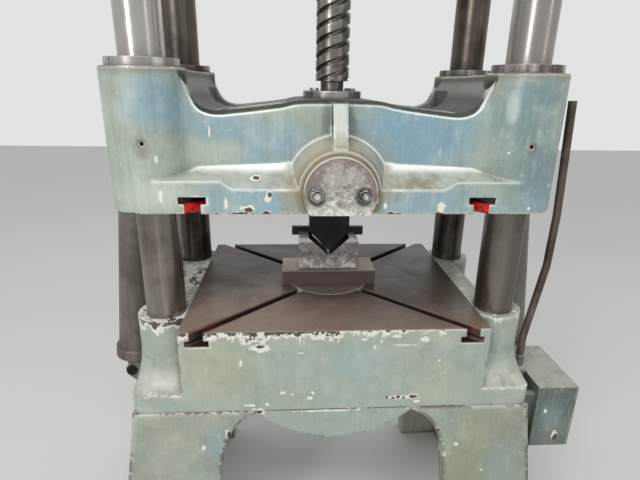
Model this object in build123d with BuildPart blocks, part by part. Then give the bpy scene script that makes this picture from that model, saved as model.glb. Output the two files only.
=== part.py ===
from build123d import *
import os
from math import asin, atan2, cos, degrees, hypot, radians, sin, sqrt, tan

# Screw press: a bed on two leg castings, four round columns, a sliding crosshead
# driven by a three-start screw through a nut in the crown.
# Millimetres. Origin on the floor below the screw axis, +Z up, front is -Y.

os.makedirs("parts", exist_ok=True)

# Overall heights
table_z = 780.0
seam_z = 575.0
crosshead_z = 1038.0
crown_z = 1760.0
crown_height = 230.0

# Columns
column_r = 45.0
column_x = 395.0
column_y = 180.0
column_seat_z = 640.0
foot_spigot_r = 28.0
crown_spigot_r = 34.0
slip = 0.05

# Bed and table
table_width = 694.0
table_depth = 584.0
table_plate = 90.0
socket_r = 65.0
flange_x = 463.0
flange_thick = 46.0
flange_corner_r = 20.0
flare_height = 64.0
bed_wall = 40.0
belly_drop = 79.0
belly_half = 180.0
cusp_drop = 6.0
insert_r = 107.0
insert_thick = 40.0

# T-slots, 22 mm, set on the diagonals of the table and of the crosshead
slot_angle = 43.5
slot_neck = 22.0
slot_neck_deep = 20.0
slot_base = 37.0
slot_base_deep = 15.0
upper_slot_angle = 41.3
upper_slot_start = 150.0

# Legs
leg_wall = 26.0
leg_floor_x = 546.0
foot_x = 588.0
foot_y = 330.0
foot_thick = 26.0
arch_x = 258.0
arch_z = 490.0
anchor_x = 566.0
anchor_y = 270.0
anchor_hole_r = 11.0
leg_bolt_in = 215.0
leg_bolt_out = 330.0
leg_bolt_ys = (-225.0, 225.0)

# Crosshead
crosshead_height = 282.0
boss_r = 84.0
web_y = 206.0
web_blend_r = 45.0
ledge_low = 50.0
ledge_high = 67.0
ledge_step_x = 230.0
ledge_back = 8.0
beam_mid = 224.0
beam_dip = 201.0
rib_half = 15.0
rim_r = 14.0
disc_r = 75.0
disc_up = 44.0
disc_thick = 16.0
stud_half = 48.0
bar_half = 34.0
bar_height = 62.0
arch_boss_r = 85.0
arch_base_r = 110.0
side_x = 424.0
bush_wall = 7.0
wiper_r = 72.0
wiper_thick = 16.0

# Screw and nut: trapezoidal thread with three starts
thread_r = 40.0
thread_root_r = 30.0
thread_pitch = 30.0
thread_starts = 3
thread_play = 0.3
neck_r = 28.0
ring_r = 71.0
ring_thick = 17.0
neck_show = 22.0
screw_collar_r = 50.0
nut_body_r = 62.0
nut_flange_r = 92.0
wheel_r = 270.0

# Dies
die_y = 8.0
plate_width = 250.0
plate_depth = 100.0
plate_thick = 40.0
vee_width = 160.0
vee_depth = 60.0
vee_height = 85.0
vee_half = 54.0
punch_half = 52.5
punch_y = 9.0
punch_depth = 62.0
punch_gap = 15.0
gauge_width = 198.0

# Balance cylinders, leaning inboard towards their lugs on the crosshead
balance_foot_x = 552.0
balance_foot_z = 520.0
balance_head_x = 477.0
balance_head_up = 142.0
tube_r = 45.0
tube_wall = 6.0
tube_length = 545.0
rod_r = 14.0
pin_r = 10.0
eye_play = 3.0
bracket_top = 556.0
bracket_foot = 432.0

# Control box and lever on the right side
box_x = 504.0
box_width = 101.0
box_y = -265.0
box_depth = 190.0
box_z = 424.0
box_height = 174.0
lever_r = 9.0
lever_y = -178.0
lever_x = 489.0
lever_pivot_z = 594.0
lever_socket = 46.0

flange_y = column_y + boss_r - 0.5
crown_top = crown_z + crown_height
beam_top = crosshead_z + beam_mid
thread_z = beam_top + ring_thick + neck_show
thread_lead = thread_pitch * thread_starts
columns = {
    "front_left": (-column_x, -column_y),
    "front_right": (column_x, -column_y),
    "rear_left": (-column_x, column_y),
    "rear_right": (column_x, column_y),
}
corners = list(columns.values())


def finish(builder, name):
    builder.part.label = name
    export_step(builder.part, f"parts/{name}.step")


def slot_places(angle, start, z):
    # Where each diagonal T-slot starts, turned to run outwards.
    return [
        Location((start * cos(radians(h)), start * sin(radians(h)), z), (0, 0, h))
        for h in (angle, 180 - angle, 180 + angle, 360 - angle)
    ]


def thread_outline(crest_r, root_r, play):
    # Cross-section of the three-start thread, square to its axis, grown by the play.
    turn = 360 / thread_starts
    grow = degrees(play / crest_r)
    crest = turn * 0.62 + 2 * grow
    root = turn * 0.21 - 2 * grow
    flank = (turn - crest - root) / 2
    outer = crest_r + play
    inner = root_r + play
    for i in range(thread_starts):
        a = i * turn
        CenterArc((0, 0), outer, a, crest)
        Line(
            (outer * cos(radians(a + crest)), outer * sin(radians(a + crest))),
            (inner * cos(radians(a + crest + flank)), inner * sin(radians(a + crest + flank))),
        )
        CenterArc((0, 0), inner, a + crest + flank, root)
        Line(
            (
                inner * cos(radians(a + crest + flank + root)),
                inner * sin(radians(a + crest + flank + root)),
            ),
            (outer * cos(radians(a + turn)), outer * sin(radians(a + turn))),
        )


def thread_solid(z, length, play):
    # Three-start right-hand thread standing at height z; all calls share one phase.
    with BuildSketch() as section:
        with BuildLine():
            thread_outline(thread_r, thread_root_r, play)
        make_face()
    twist = 360 * length / thread_lead
    outline = section.sketch.faces()[0]
    solid = Solid.extrude_linear_with_rotation(outline, (0, 0, 0), (0, 0, length), twist)
    phase = 360 * (z - thread_z) / thread_lead
    return solid.rotate(Axis.Z, phase).moved(Location((0, 0, z)))


# Flare: one socket's foot, swept from the round socket out to the flange's corner.
flange_top = seam_z + flange_thick
# It starts on a narrow shoulder round the socket.
flare_in = 60.0
flare_step = 1.5
flare_r = socket_r + flare_step
with BuildPart() as socket_flare:
    with BuildSketch(Plane.XY.offset(flange_top + flare_height)):
        with Locations((column_x, column_y)):
            RectangleRounded(2 * flare_r, 2 * flare_r, flare_r - 0.5)
    for up, share, corner in ((0.52, 0.16, 58), (0.2, 0.5, 42), (0, 1, flange_corner_r)):
        out_x = column_x + flare_r + share * (flange_x - column_x - flare_r)
        out_y = column_y + flare_r + share * (table_depth / 2 - column_y - flare_r)
        in_x = column_x - flare_r
        in_y = column_y - flare_r - share * flare_in
        with BuildSketch(Plane.XY.offset(flange_top + up * flare_height)):
            with Locations(((in_x + out_x) / 2, (in_y + out_y) / 2)):
                RectangleRounded(out_x - in_x, out_y - in_y, corner)
    loft()

# Bed casting: the table block, four column sockets that flare on to the foot flange,
# and a front and rear wall whose lower edge hangs in a shallow belly.
with BuildPart() as bed_casting:
    add(socket_flare.part)
    mirror(about=Plane.YZ)
    mirror(about=Plane.XZ)
    with BuildSketch(Plane.XY.offset(seam_z)):
        RectangleRounded(2 * flange_x, table_depth, flange_corner_r)
    extrude(amount=flange_thick)
    with BuildSketch(Plane.XY.offset(seam_z)):
        Rectangle(table_width, table_depth)
        Rectangle(2 * column_x, 2 * column_y)
        with Locations(*corners):
            Circle(socket_r)
    extrude(amount=table_z - seam_z)
    for end in (-1, 1):
        with BuildSketch(Plane.XZ.offset(end * (table_depth / 2 - bed_wall))):
            with BuildLine():
                ThreePointArc(
                    (-belly_half, seam_z - cusp_drop),
                    (0, seam_z - belly_drop),
                    (belly_half, seam_z - cusp_drop),
                )
                Polyline(
                    (belly_half, seam_z - cusp_drop),
                    (belly_half, seam_z + 5),
                    (-belly_half, seam_z + 5),
                    (-belly_half, seam_z - cusp_drop),
                )
            make_face()
        extrude(amount=end * bed_wall)
    with BuildSketch(Plane.XY.offset(seam_z - belly_drop)):
        with Locations((0, 0), (-230, 0), (230, 0)):
            RectangleRounded(196, table_depth - 2 * bed_wall, 24)
    extrude(amount=table_z - table_plate - seam_z + belly_drop, mode=Mode.SUBTRACT)
    with Locations(*slot_places(slot_angle, insert_r - 12, table_z)):
        Box(
            table_width,
            slot_neck,
            slot_neck_deep,
            align=(Align.MIN, Align.CENTER, Align.MAX),
            mode=Mode.SUBTRACT,
        )
    with Locations(*slot_places(slot_angle, insert_r - 12, table_z - slot_neck_deep)):
        Box(
            table_width,
            slot_base,
            slot_base_deep,
            align=(Align.MIN, Align.CENTER, Align.MAX),
            mode=Mode.SUBTRACT,
        )
    with Locations((0, 0, table_z)):
        Cylinder(
            insert_r,
            insert_thick,
            align=(Align.CENTER, Align.CENTER, Align.MAX),
            mode=Mode.SUBTRACT,
        )
    with Locations(*[(x, y, table_z) for x, y in corners]):
        Cylinder(
            column_r + slip,
            table_z - column_seat_z,
            align=(Align.CENTER, Align.CENTER, Align.MAX),
            mode=Mode.SUBTRACT,
        )
        Cylinder(
            foot_spigot_r + slip,
            table_z - seam_z,
            align=(Align.CENTER, Align.CENTER, Align.MAX),
            mode=Mode.SUBTRACT,
        )
    with Locations(*[(x, y, seam_z) for x, y in corners]):
        Cylinder(
            52, 38, align=(Align.CENTER, Align.CENTER, Align.MIN), mode=Mode.SUBTRACT
        )
finish(bed_casting, "bed_casting")

with BuildPart() as table_insert:
    with BuildSketch(Plane.XY.offset(table_z - insert_thick)):
        Circle(insert_r - 0.1)
    extrude(amount=insert_thick)
    with Locations((0, 0, table_z)):
        with PolarLocations(78, 2, start_angle=90):
            Hole(6, depth=22)
finish(table_insert, "table_insert")

# Legs: open-backed side castings with a sloping outer wall and a rounded arch corner.
leg_slope = (leg_floor_x - flange_x) / seam_z


def leg_outer_x(z):
    return flange_x + leg_slope * (seam_z - z)


def build_leg(side):
    with BuildPart() as leg:
        with BuildSketch(Plane.XZ):
            with BuildLine():
                Polyline(
                    (belly_half, seam_z - cusp_drop),
                    (belly_half, seam_z),
                    (flange_x, seam_z),
                    (leg_floor_x, 0),
                    (arch_x + 68, 0),
                    (arch_x + 8, arch_z - 50),
                )
                Spline(
                    (arch_x + 8, arch_z - 50),
                    (arch_x - 4, arch_z + 2),
                    (arch_x - 30, arch_z + 46),
                    (belly_half, seam_z - cusp_drop),
                )
            make_face()
        extrude(amount=foot_y, both=True)
        with BuildSketch(Plane.YZ):
            Polygon(
                (-table_depth / 2, seam_z),
                (table_depth / 2, seam_z),
                (foot_y - 8, 0),
                (8 - foot_y, 0),
                align=None,
            )
        extrude(amount=foot_x + 20, mode=Mode.INTERSECT)
        with BuildSketch(Plane.XZ):
            Polygon(
                (80, 0),
                (80, seam_z - 30),
                (leg_outer_x(seam_z - 30) - leg_wall, seam_z - 30),
                (leg_outer_x(0) - leg_wall, 0),
                align=None,
            )
        extrude(amount=table_depth / 2 - leg_wall, both=True, mode=Mode.SUBTRACT)
        with BuildSketch(Plane.YZ.offset(leg_floor_x - 70)):
            with Locations((0, 0)):
                Rectangle(300, 2 * 150)
            with Locations((0, 150)):
                Circle(150)
            Rectangle(1200, 600, align=(Align.CENTER, Align.MAX), mode=Mode.SUBTRACT)
        extrude(amount=200, mode=Mode.SUBTRACT)
        for end in (-1, 1):
            with BuildSketch(Plane.XY):
                with Locations(((leg_floor_x + foot_x) / 2 - 45, end * (foot_y - 62))):
                    RectangleRounded(foot_x - leg_floor_x + 90, 124, 20)
            extrude(amount=foot_thick)
            with Locations((anchor_x, end * anchor_y, foot_thick)):
                Hole(anchor_hole_r, depth=foot_thick)
        with Locations(
            *[(x, y, seam_z) for x in (leg_bolt_in, leg_bolt_out) for y in leg_bolt_ys]
        ):
            Hole(10.5, depth=30)
        if side < 0:
            mirror(about=Plane.YZ, mode=Mode.REPLACE)
    return leg


right_leg = build_leg(1)
finish(right_leg, "right_leg")
left_leg = build_leg(-1)
finish(left_leg, "left_leg")

with BuildPart() as leg_bolts:
    for x in (-leg_bolt_out, -leg_bolt_in, leg_bolt_in, leg_bolt_out):
        for y in leg_bolt_ys:
            with BuildSketch(Plane.XY.offset(seam_z - 30)):
                with Locations((x, y)):
                    RegularPolygon(17.3, 6)
            extrude(amount=-13)
            with Locations((x, y, seam_z - 30)):
                Cylinder(10, 30, align=(Align.CENTER, Align.CENTER, Align.MIN))
finish(leg_bolts, "leg_bolts")

# Columns: turned round bars with a spigot and nut at the foot and at the crown.
for name, (x, y) in columns.items():
    with BuildPart() as column:
        with Locations((x, y, column_seat_z)):
            Cylinder(
                column_r, crown_z - column_seat_z, align=(Align.CENTER, Align.CENTER, Align.MIN)
            )
        with Locations((x, y, seam_z + 4)):
            Cylinder(
                foot_spigot_r,
                column_seat_z - seam_z - 4,
                align=(Align.CENTER, Align.CENTER, Align.MIN),
            )
        with Locations((x, y, crown_z)):
            Cylinder(
                crown_spigot_r, crown_height + 66, align=(Align.CENTER, Align.CENTER, Align.MIN)
            )
        chamfer(column.faces().sort_by(Axis.Z)[-1].edges(), 3)
    finish(column, f"column_{name}")

with BuildPart() as foot_nuts:
    with BuildSketch(Plane.XY.offset(seam_z + 8)):
        with Locations(*corners):
            RegularPolygon(46, 6)
            Circle(foot_spigot_r + slip, mode=Mode.SUBTRACT)
    extrude(amount=30)
finish(foot_nuts, "foot_nuts")

with BuildPart() as crown_washers:
    with BuildSketch(Plane.XY.offset(crown_top)):
        with Locations(*corners):
            Circle(66)
            Circle(crown_spigot_r + slip, mode=Mode.SUBTRACT)
    extrude(amount=10)
finish(crown_washers, "crown_washers")

with BuildPart() as crown_nuts:
    with BuildSketch(Plane.XY.offset(crown_top + 10)):
        with Locations(*corners):
            RegularPolygon(60, 6)
            Circle(crown_spigot_r + slip, mode=Mode.SUBTRACT)
    extrude(amount=46)
finish(crown_nuts, "crown_nuts")

# Crown: four column bosses, a ribbed deck between them and a hub round the nut.
with BuildPart() as crown_casting:
    with BuildSketch(Plane.XY.offset(crown_z + 26)):
        RectangleRounded(2 * column_x, 2 * column_y + 70, 30)
    extrude(amount=crown_height - 52)
    with BuildSketch(Plane.XY.offset(crown_z)):
        with Locations((0, 0), (-230, 0), (230, 0)):
            RectangleRounded(190, 2 * column_y - 20, 26)
    extrude(amount=crown_height - 70, mode=Mode.SUBTRACT)
    with BuildSketch(Plane.XY.offset(crown_z)):
        with Locations(*corners):
            Circle(boss_r - 4)
    extrude(amount=crown_height)
    with BuildSketch(Plane.XY.offset(crown_z)):
        Circle(nut_flange_r + 14)
        Rectangle(2 * column_y - 60, 44)
        Rectangle(44, 2 * column_y + 40)
    extrude(amount=crown_height - 30)
    with BuildSketch(Plane.XY.offset(crown_z - 20)):
        Circle(nut_flange_r + 14)
    extrude(amount=crown_height + 26)
    with Locations((0, 0, crown_top)):
        Hole(nut_body_r + slip)
    with Locations(*[(x, y, crown_top) for x, y in corners]):
        Hole(crown_spigot_r + slip)
    with Locations((0, 0, crown_z - 20)):
        with PolarLocations(78, 6):
            Cylinder(
                7, 40, align=(Align.CENTER, Align.CENTER, Align.MIN), mode=Mode.SUBTRACT
            )
finish(crown_casting, "crown_casting")

with BuildPart() as screw_nut:
    with BuildSketch(Plane.XY.offset(crown_z - 42)):
        Circle(nut_flange_r)
    extrude(amount=22)
    with BuildSketch(Plane.XY.offset(crown_z - 42)):
        Circle(nut_body_r)
    extrude(amount=crown_height + 48)
    with Locations((0, 0, crown_z - 20)):
        with PolarLocations(78, 6):
            Hole(7.2, depth=22)
    add(thread_solid(crown_z - 43, crown_height + 50, thread_play), mode=Mode.SUBTRACT)
finish(screw_nut, "screw_nut")

with BuildPart() as screw_nut_bolts:
    with BuildSketch(Plane.XY.offset(crown_z - 42)):
        with PolarLocations(78, 6):
            RegularPolygon(12.7, 6)
    extrude(amount=-9)
    with BuildSketch(Plane.XY.offset(crown_z - 42)):
        with PolarLocations(78, 6):
            Circle(7)
    extrude(amount=60)
finish(screw_nut_bolts, "screw_nut_bolts")

# Crosshead: a ribbed box casting. The beam's top edge sweeps up into the four bosses,
# a sloping flange runs along its foot and a half-round boss carries the end plate.
with BuildPart() as column_boss:
    Cylinder(boss_r, crosshead_height, align=(Align.CENTER, Align.CENTER, Align.MIN))
    fillet(column_boss.faces().sort_by(Axis.Z)[-1].edges(), 5)

# In plan each web runs straight and then sweeps out on to its bosses.
blend_reach = boss_r + web_blend_r
blend_out = web_y + web_blend_r - column_y
blend_in = sqrt(blend_reach**2 - blend_out**2)
blend_x = column_x - blend_in
blend_turn = degrees(atan2(blend_out, blend_in))
blend_end_x = column_x - blend_in * boss_r / blend_reach
blend_end_y = column_y + blend_out * boss_r / blend_reach

with BuildPart() as crosshead_casting:
    with BuildSketch(Plane.XZ):
        with BuildLine():
            Spline(
                (318, crosshead_z + crosshead_height - 3),
                (309, crosshead_z + 244),
                (293, crosshead_z + 216),
                (262, crosshead_z + beam_dip),
                (222, crosshead_z + beam_dip + 1),
                (110, crosshead_z + 217),
                (0, beam_top),
                tangents=((0, -1), (-1, 0)),
            )
            Polyline(
                (0, beam_top),
                (0, crosshead_z),
                (column_x, crosshead_z),
                (column_x, crosshead_z + crosshead_height - 3),
                (318, crosshead_z + crosshead_height - 3),
            )
        make_face()
        mirror(about=Plane.YZ)
    extrude(amount=blend_end_y, both=True)
    with BuildSketch(Plane.XY.offset(crosshead_z)):
        with BuildLine():
            Polyline((0, 0), (0, -web_y), (blend_x, -web_y))
            CenterArc((blend_x, -web_y - web_blend_r), web_blend_r, 90, blend_turn - 90)
            Polyline(
                (blend_end_x, -blend_end_y), (column_x, -blend_end_y), (column_x, 0), (0, 0)
            )
        make_face()
        mirror(about=Plane.YZ)
        mirror(about=Plane.XZ)
    extrude(amount=crosshead_height, mode=Mode.INTERSECT)
    rims = [
        e
        for e in crosshead_casting.edges()
        if abs(e.center().Y) > web_y - 0.1 and e.geom_type == GeomType.BSPLINE
    ]
    fillet(rims, rim_r)
    for x_from, x_to, ledge_from, ledge_to, back_from, back_to in (
        (0, ledge_step_x - 12, ledge_low, ledge_low, 92, 82),
        (ledge_step_x - 12, ledge_step_x + 12, ledge_low, ledge_high, 82, 81),
        (ledge_step_x + 12, column_x, ledge_high, ledge_high, 81, 73),
    ):
        for x, ledge, back in ((x_from, ledge_from, back_from), (x_to, ledge_to, back_to)):
            with BuildSketch(Plane.YZ.offset(x)) as foot:
                Polygon(
                    (-web_y + 20, crosshead_z),
                    (-flange_y, crosshead_z),
                    (-flange_y, crosshead_z + ledge),
                    (-web_y - ledge_back, crosshead_z + back),
                    (-web_y, crosshead_z + back + 9),
                    (-web_y + 20, crosshead_z + back + 9),
                    align=None,
                )
        loft()
    with Locations(Location((0, -web_y + 4, crosshead_z + disc_up), (90, 0, 0))):
        Cone(
            arch_base_r + 2,
            arch_boss_r,
            flange_y - web_y + 4,
            align=(Align.CENTER, Align.CENTER, Align.MIN),
        )
    with Locations((0, -flange_y, crosshead_z)):
        Box(400, 240, 100, align=(Align.CENTER, Align.CENTER, Align.MAX), mode=Mode.SUBTRACT)
    with BuildSketch(Plane.YZ.offset(-rib_half)):
        Polygon(
            (-web_y + 20, beam_top - 1),
            (-web_y - 20, beam_top - 6),
            (-flange_y + 6, crosshead_z + 136),
            (-flange_y + 6, crosshead_z + 60),
            (-web_y + 20, crosshead_z + 60),
            align=None,
        )
    extrude(amount=2 * rib_half)
    mirror(about=Plane.YZ)
    mirror(about=Plane.XZ)
    with Locations(*[(x, y, crosshead_z) for x, y in corners]):
        add(column_boss.part)
    with BuildSketch(Plane.XY.offset(crosshead_z)):
        with Locations((side_x - 50, 0), (50 - side_x, 0)):
            RectangleRounded(100, 250, 30)
    extrude(amount=236)
    with BuildSketch(Plane.XY.offset(crosshead_z + 64)):
        with Locations((-185, -112), (185, -112)):
            RectangleRounded(140, 132, 24)
        with Locations((-212, 110), (212, 110)):
            RectangleRounded(194, 144, 24)
    extrude(amount=300, mode=Mode.SUBTRACT)
    for end in (-1, 1):
        for y in (-38, 18):
            with BuildSketch(Plane.XZ.offset(-y)):
                with Locations((end * balance_head_x, crosshead_z + balance_head_up)):
                    Circle(27)
                with Locations((end * (side_x + 20), crosshead_z + balance_head_up)):
                    Rectangle(2 * (balance_head_x - side_x - 20), 54)
                with Locations((end * balance_head_x, crosshead_z + balance_head_up)):
                    Circle(pin_r, mode=Mode.SUBTRACT)
            extrude(amount=-20)
    with Locations(*slot_places(upper_slot_angle, upper_slot_start, crosshead_z)):
        Box(
            table_width,
            slot_neck,
            slot_neck_deep,
            align=(Align.MIN, Align.CENTER, Align.MIN),
            mode=Mode.SUBTRACT,
        )
    with Locations(*slot_places(
        upper_slot_angle, upper_slot_start, crosshead_z + slot_neck_deep
    )):
        Box(
            table_width,
            slot_base,
            slot_base_deep,
            align=(Align.MIN, Align.CENTER, Align.MIN),
            mode=Mode.SUBTRACT,
        )
    with Locations(*[(x, y, crosshead_z + crosshead_height) for x, y in corners]):
        Hole(column_r + bush_wall)
    with Locations((0, 0, crosshead_z)):
        Box(
            2 * bar_half,
            3 * web_y,
            bar_height,
            align=(Align.CENTER, Align.CENTER, Align.MIN),
            mode=Mode.SUBTRACT,
        )
    with Locations((0, 0, beam_top)):
        Hole(screw_collar_r + 2, depth=70)
        with PolarLocations(62, 4, start_angle=45):
            Hole(5, depth=24)
    for x in (-stud_half, stud_half):
        for end in (-1, 1):
            with Locations((x, end * flange_y, crosshead_z + disc_up)):
                Cylinder(8, 80, rotation=(90, 0, 0), mode=Mode.SUBTRACT)
    for x, y in corners:
        if y < 0:
            with Locations((x * 0.98, y - boss_r, crosshead_z + 140)):
                Cylinder(4, 36, rotation=(90, 0, 0), mode=Mode.SUBTRACT)
finish(crosshead_casting, "crosshead_casting")

with BuildPart() as guide_bushes:
    with BuildSketch(Plane.XY.offset(crosshead_z + 2)):
        with Locations(*corners):
            Circle(column_r + bush_wall)
            Circle(column_r + slip, mode=Mode.SUBTRACT)
    extrude(amount=crosshead_height - 2)
finish(guide_bushes, "guide_bushes")

# Split wiper rings on top of the bosses; the heading is where each ring's gap faces.
wiper_gaps = {"front_left": 232, "front_right": 284, "rear_left": 128, "rear_right": 76}
wiper_z = crosshead_z + crosshead_height
with BuildPart() as wiper_rings:
    for name, (x, y) in columns.items():
        with BuildSketch(Plane.XY.offset(wiper_z)):
            with Locations((x, y)):
                Circle(wiper_r)
                Circle(column_r + slip, mode=Mode.SUBTRACT)
                with PolarLocations(wiper_r, 1, start_angle=wiper_gaps[name]):
                    Rectangle(70, 4, mode=Mode.SUBTRACT)
                with PolarLocations(59, 3, start_angle=wiper_gaps[name] + 40):
                    Circle(4.5, mode=Mode.SUBTRACT)
        extrude(amount=wiper_thick)
finish(wiper_rings, "wiper_rings")

with BuildPart() as wiper_screws:
    for name, (x, y) in columns.items():
        with BuildSketch(Plane.XY.offset(wiper_z)):
            with Locations((x, y)):
                with PolarLocations(59, 3, start_angle=wiper_gaps[name] + 40):
                    Circle(4.5)
        extrude(amount=wiper_thick - 2)
finish(wiper_screws, "wiper_screws")

with BuildPart() as tool_bar:
    with Locations((0, 0, crosshead_z)):
        Box(
            2 * bar_half - 0.2,
            2 * flange_y,
            bar_height - 0.2,
            align=(Align.CENTER, Align.CENTER, Align.MIN),
        )
    with Locations((0, punch_y - 16, crosshead_z), (0, punch_y + 16, crosshead_z)):
        Cylinder(
            8, 40, align=(Align.CENTER, Align.CENTER, Align.MIN), mode=Mode.SUBTRACT
        )
finish(tool_bar, "tool_bar")

# End plates: round plates with a flat at the crosshead's foot, held by two studs each.
disc_z = crosshead_z + disc_up
for name, end in (("front", 1), ("rear", -1)):
    with BuildPart() as end_plate:
        with BuildSketch(Plane.XZ.offset(end * flange_y)):
            with Locations((0, disc_z)):
                Circle(disc_r)
                Rectangle(400, 400, align=(Align.CENTER, Align.MAX), mode=Mode.SUBTRACT)
            with Locations((0, disc_z)):
                Rectangle(2 * disc_r, disc_up, align=(Align.CENTER, Align.MAX))
                Circle(disc_r, mode=Mode.INTERSECT)
            with Locations((-stud_half, disc_z), (stud_half, disc_z)):
                Circle(8.2, mode=Mode.SUBTRACT)
        extrude(amount=end * disc_thick)
    finish(end_plate, f"end_plate_{name}")

with BuildPart() as end_studs:
    for end in (1, -1):
        with BuildSketch(Plane.XZ.offset(end * (flange_y - 38))):
            with Locations((-stud_half, disc_z), (stud_half, disc_z)):
                Circle(8)
        extrude(amount=end * (38 + disc_thick + 24))
finish(end_studs, "end_studs")

with BuildPart() as end_washers:
    for end in (1, -1):
        with BuildSketch(Plane.XZ.offset(end * (flange_y + disc_thick))):
            with Locations((-stud_half, disc_z), (stud_half, disc_z)):
                Circle(15)
                Circle(8.2, mode=Mode.SUBTRACT)
        extrude(amount=end * 3)
finish(end_washers, "end_washers")

with BuildPart() as end_nuts:
    for end in (1, -1):
        with BuildSketch(Plane.XZ.offset(end * (flange_y + disc_thick + 3))):
            with Locations((-stud_half, disc_z), (stud_half, disc_z)):
                RegularPolygon(13.85, 6, rotation=30)
                Circle(8, mode=Mode.SUBTRACT)
        extrude(amount=end * 13)
finish(end_nuts, "end_nuts")

# Bending punch under the tool bar, with the bar that backs it.
plate_top = table_z + plate_thick
vee_top = plate_top + vee_height
vee_tip = vee_top - vee_half + 5
punch_tip = vee_tip + punch_gap
with BuildPart() as punch:
    with BuildSketch(Plane.XZ.offset(-punch_y)):
        Polygon(
            (-punch_half, crosshead_z),
            (punch_half, crosshead_z),
            (punch_half, punch_tip + punch_half),
            (2, punch_tip + 2),
            (-2, punch_tip + 2),
            (-punch_half, punch_tip + punch_half),
            align=None,
        )
    extrude(amount=punch_depth / 2, both=True)
    with Locations((0, punch_y - 16, crosshead_z), (0, punch_y + 16, crosshead_z)):
        Cylinder(
            8, 30, align=(Align.CENTER, Align.CENTER, Align.MAX), mode=Mode.SUBTRACT
        )
finish(punch, "punch")

with BuildPart() as punch_studs:
    with BuildSketch(Plane.XY.offset(crosshead_z - 28)):
        with Locations((0, punch_y - 16), (0, punch_y + 16)):
            Circle(8)
    extrude(amount=66)
finish(punch_studs, "punch_studs")

gauge_z = punch_tip + 24
gauge_y = punch_y + punch_depth / 2
with BuildPart() as gauge_bar:
    with BuildSketch(Plane.XZ.offset(-gauge_y)):
        with Locations((0, gauge_z)):
            Rectangle(gauge_width, 24, align=(Align.CENTER, Align.MIN))
        with Locations((-24, gauge_z + 12), (24, gauge_z + 12)):
            Circle(5, mode=Mode.SUBTRACT)
    extrude(amount=-12)
finish(gauge_bar, "gauge_bar")

with BuildPart() as gauge_screws:
    with BuildSketch(Plane.XZ.offset(-gauge_y)):
        with Locations((-24, gauge_z + 12), (24, gauge_z + 12)):
            Circle(5)
    extrude(amount=-12)
    with BuildSketch(Plane.XZ.offset(-gauge_y - 12)):
        with Locations((-24, gauge_z + 12), (24, gauge_z + 12)):
            Circle(8)
    extrude(amount=-8)
finish(gauge_screws, "gauge_screws")

with BuildPart() as die_plate:
    with Locations((0, die_y, table_z)):
        Box(
            plate_width,
            plate_depth,
            plate_thick,
            align=(Align.CENTER, Align.CENTER, Align.MIN),
        )
    chamfer(die_plate.edges().filter_by(Axis.X).sort_by(Axis.Z)[-2:], 1.5)
finish(die_plate, "die_plate")

with BuildPart() as v_block:
    with BuildSketch(Plane.XZ.offset(-die_y + vee_depth / 2)):
        Polygon(
            (-vee_width / 2, plate_top),
            (vee_width / 2, plate_top),
            (vee_width / 2, vee_top - 11),
            (vee_width / 2 - 11, vee_top),
            (vee_half, vee_top),
            (3, vee_tip + 2),
            (-3, vee_tip + 2),
            (-vee_half, vee_top),
            (-vee_width / 2, vee_top),
            align=None,
        )
    extrude(amount=-vee_depth)
finish(v_block, "v_block")

# Screw with its thrust collar held under the ring on top of the crosshead.
with BuildPart() as thrust_ring:
    with BuildSketch(Plane.XY.offset(beam_top)):
        Circle(ring_r)
        Circle(neck_r + slip, mode=Mode.SUBTRACT)
        with PolarLocations(62, 4, start_angle=45):
            Circle(5.2, mode=Mode.SUBTRACT)
    extrude(amount=ring_thick)
    chamfer(
        thrust_ring.faces().sort_by(Axis.Z)[-1].edges().sort_by(SortBy.LENGTH)[-1], 2
    )
finish(thrust_ring, "thrust_ring")

with BuildPart() as ring_screws:
    with BuildSketch(Plane.XY.offset(beam_top - 22)):
        with PolarLocations(62, 4, start_angle=45):
            Circle(5)
    extrude(amount=22 + ring_thick)
    with BuildSketch(Plane.XY.offset(beam_top + ring_thick)):
        with PolarLocations(62, 4, start_angle=45):
            RegularPolygon(9, 6)
    extrude(amount=6)
finish(ring_screws, "ring_screws")

with BuildPart() as thrust_bearing:
    with BuildSketch(Plane.XY.offset(beam_top - 70)):
        Circle(screw_collar_r + 2)
        Circle(neck_r + slip, mode=Mode.SUBTRACT)
    extrude(amount=20)
finish(thrust_bearing, "thrust_bearing")

thread_length = crown_top + 38 - thread_z
wheel_z = crown_top + 62
with BuildPart() as press_screw:
    with BuildSketch(Plane.XY.offset(beam_top - 68)):
        Circle(neck_r)
    extrude(amount=68 + ring_thick + neck_show)
    with BuildSketch(Plane.XY.offset(beam_top - 49.9)):
        Circle(screw_collar_r)
    extrude(amount=49.8)
    add(thread_solid(thread_z, thread_length, 0))
    with BuildSketch(Plane.XY.offset(thread_z + thread_length)):
        Circle(neck_r)
    extrude(amount=wheel_z + 84 + 34 - thread_z - thread_length)
    with Locations((0, neck_r, wheel_z + 6)):
        Box(10, 10, 66, align=(Align.CENTER, Align.CENTER, Align.MIN), mode=Mode.SUBTRACT)
finish(press_screw, "press_screw")

with BuildPart() as wheel_key:
    with Locations((0, neck_r, wheel_z + 6)):
        Box(10, 10, 66, align=(Align.CENTER, Align.CENTER, Align.MIN))
finish(wheel_key, "wheel_key")

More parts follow.
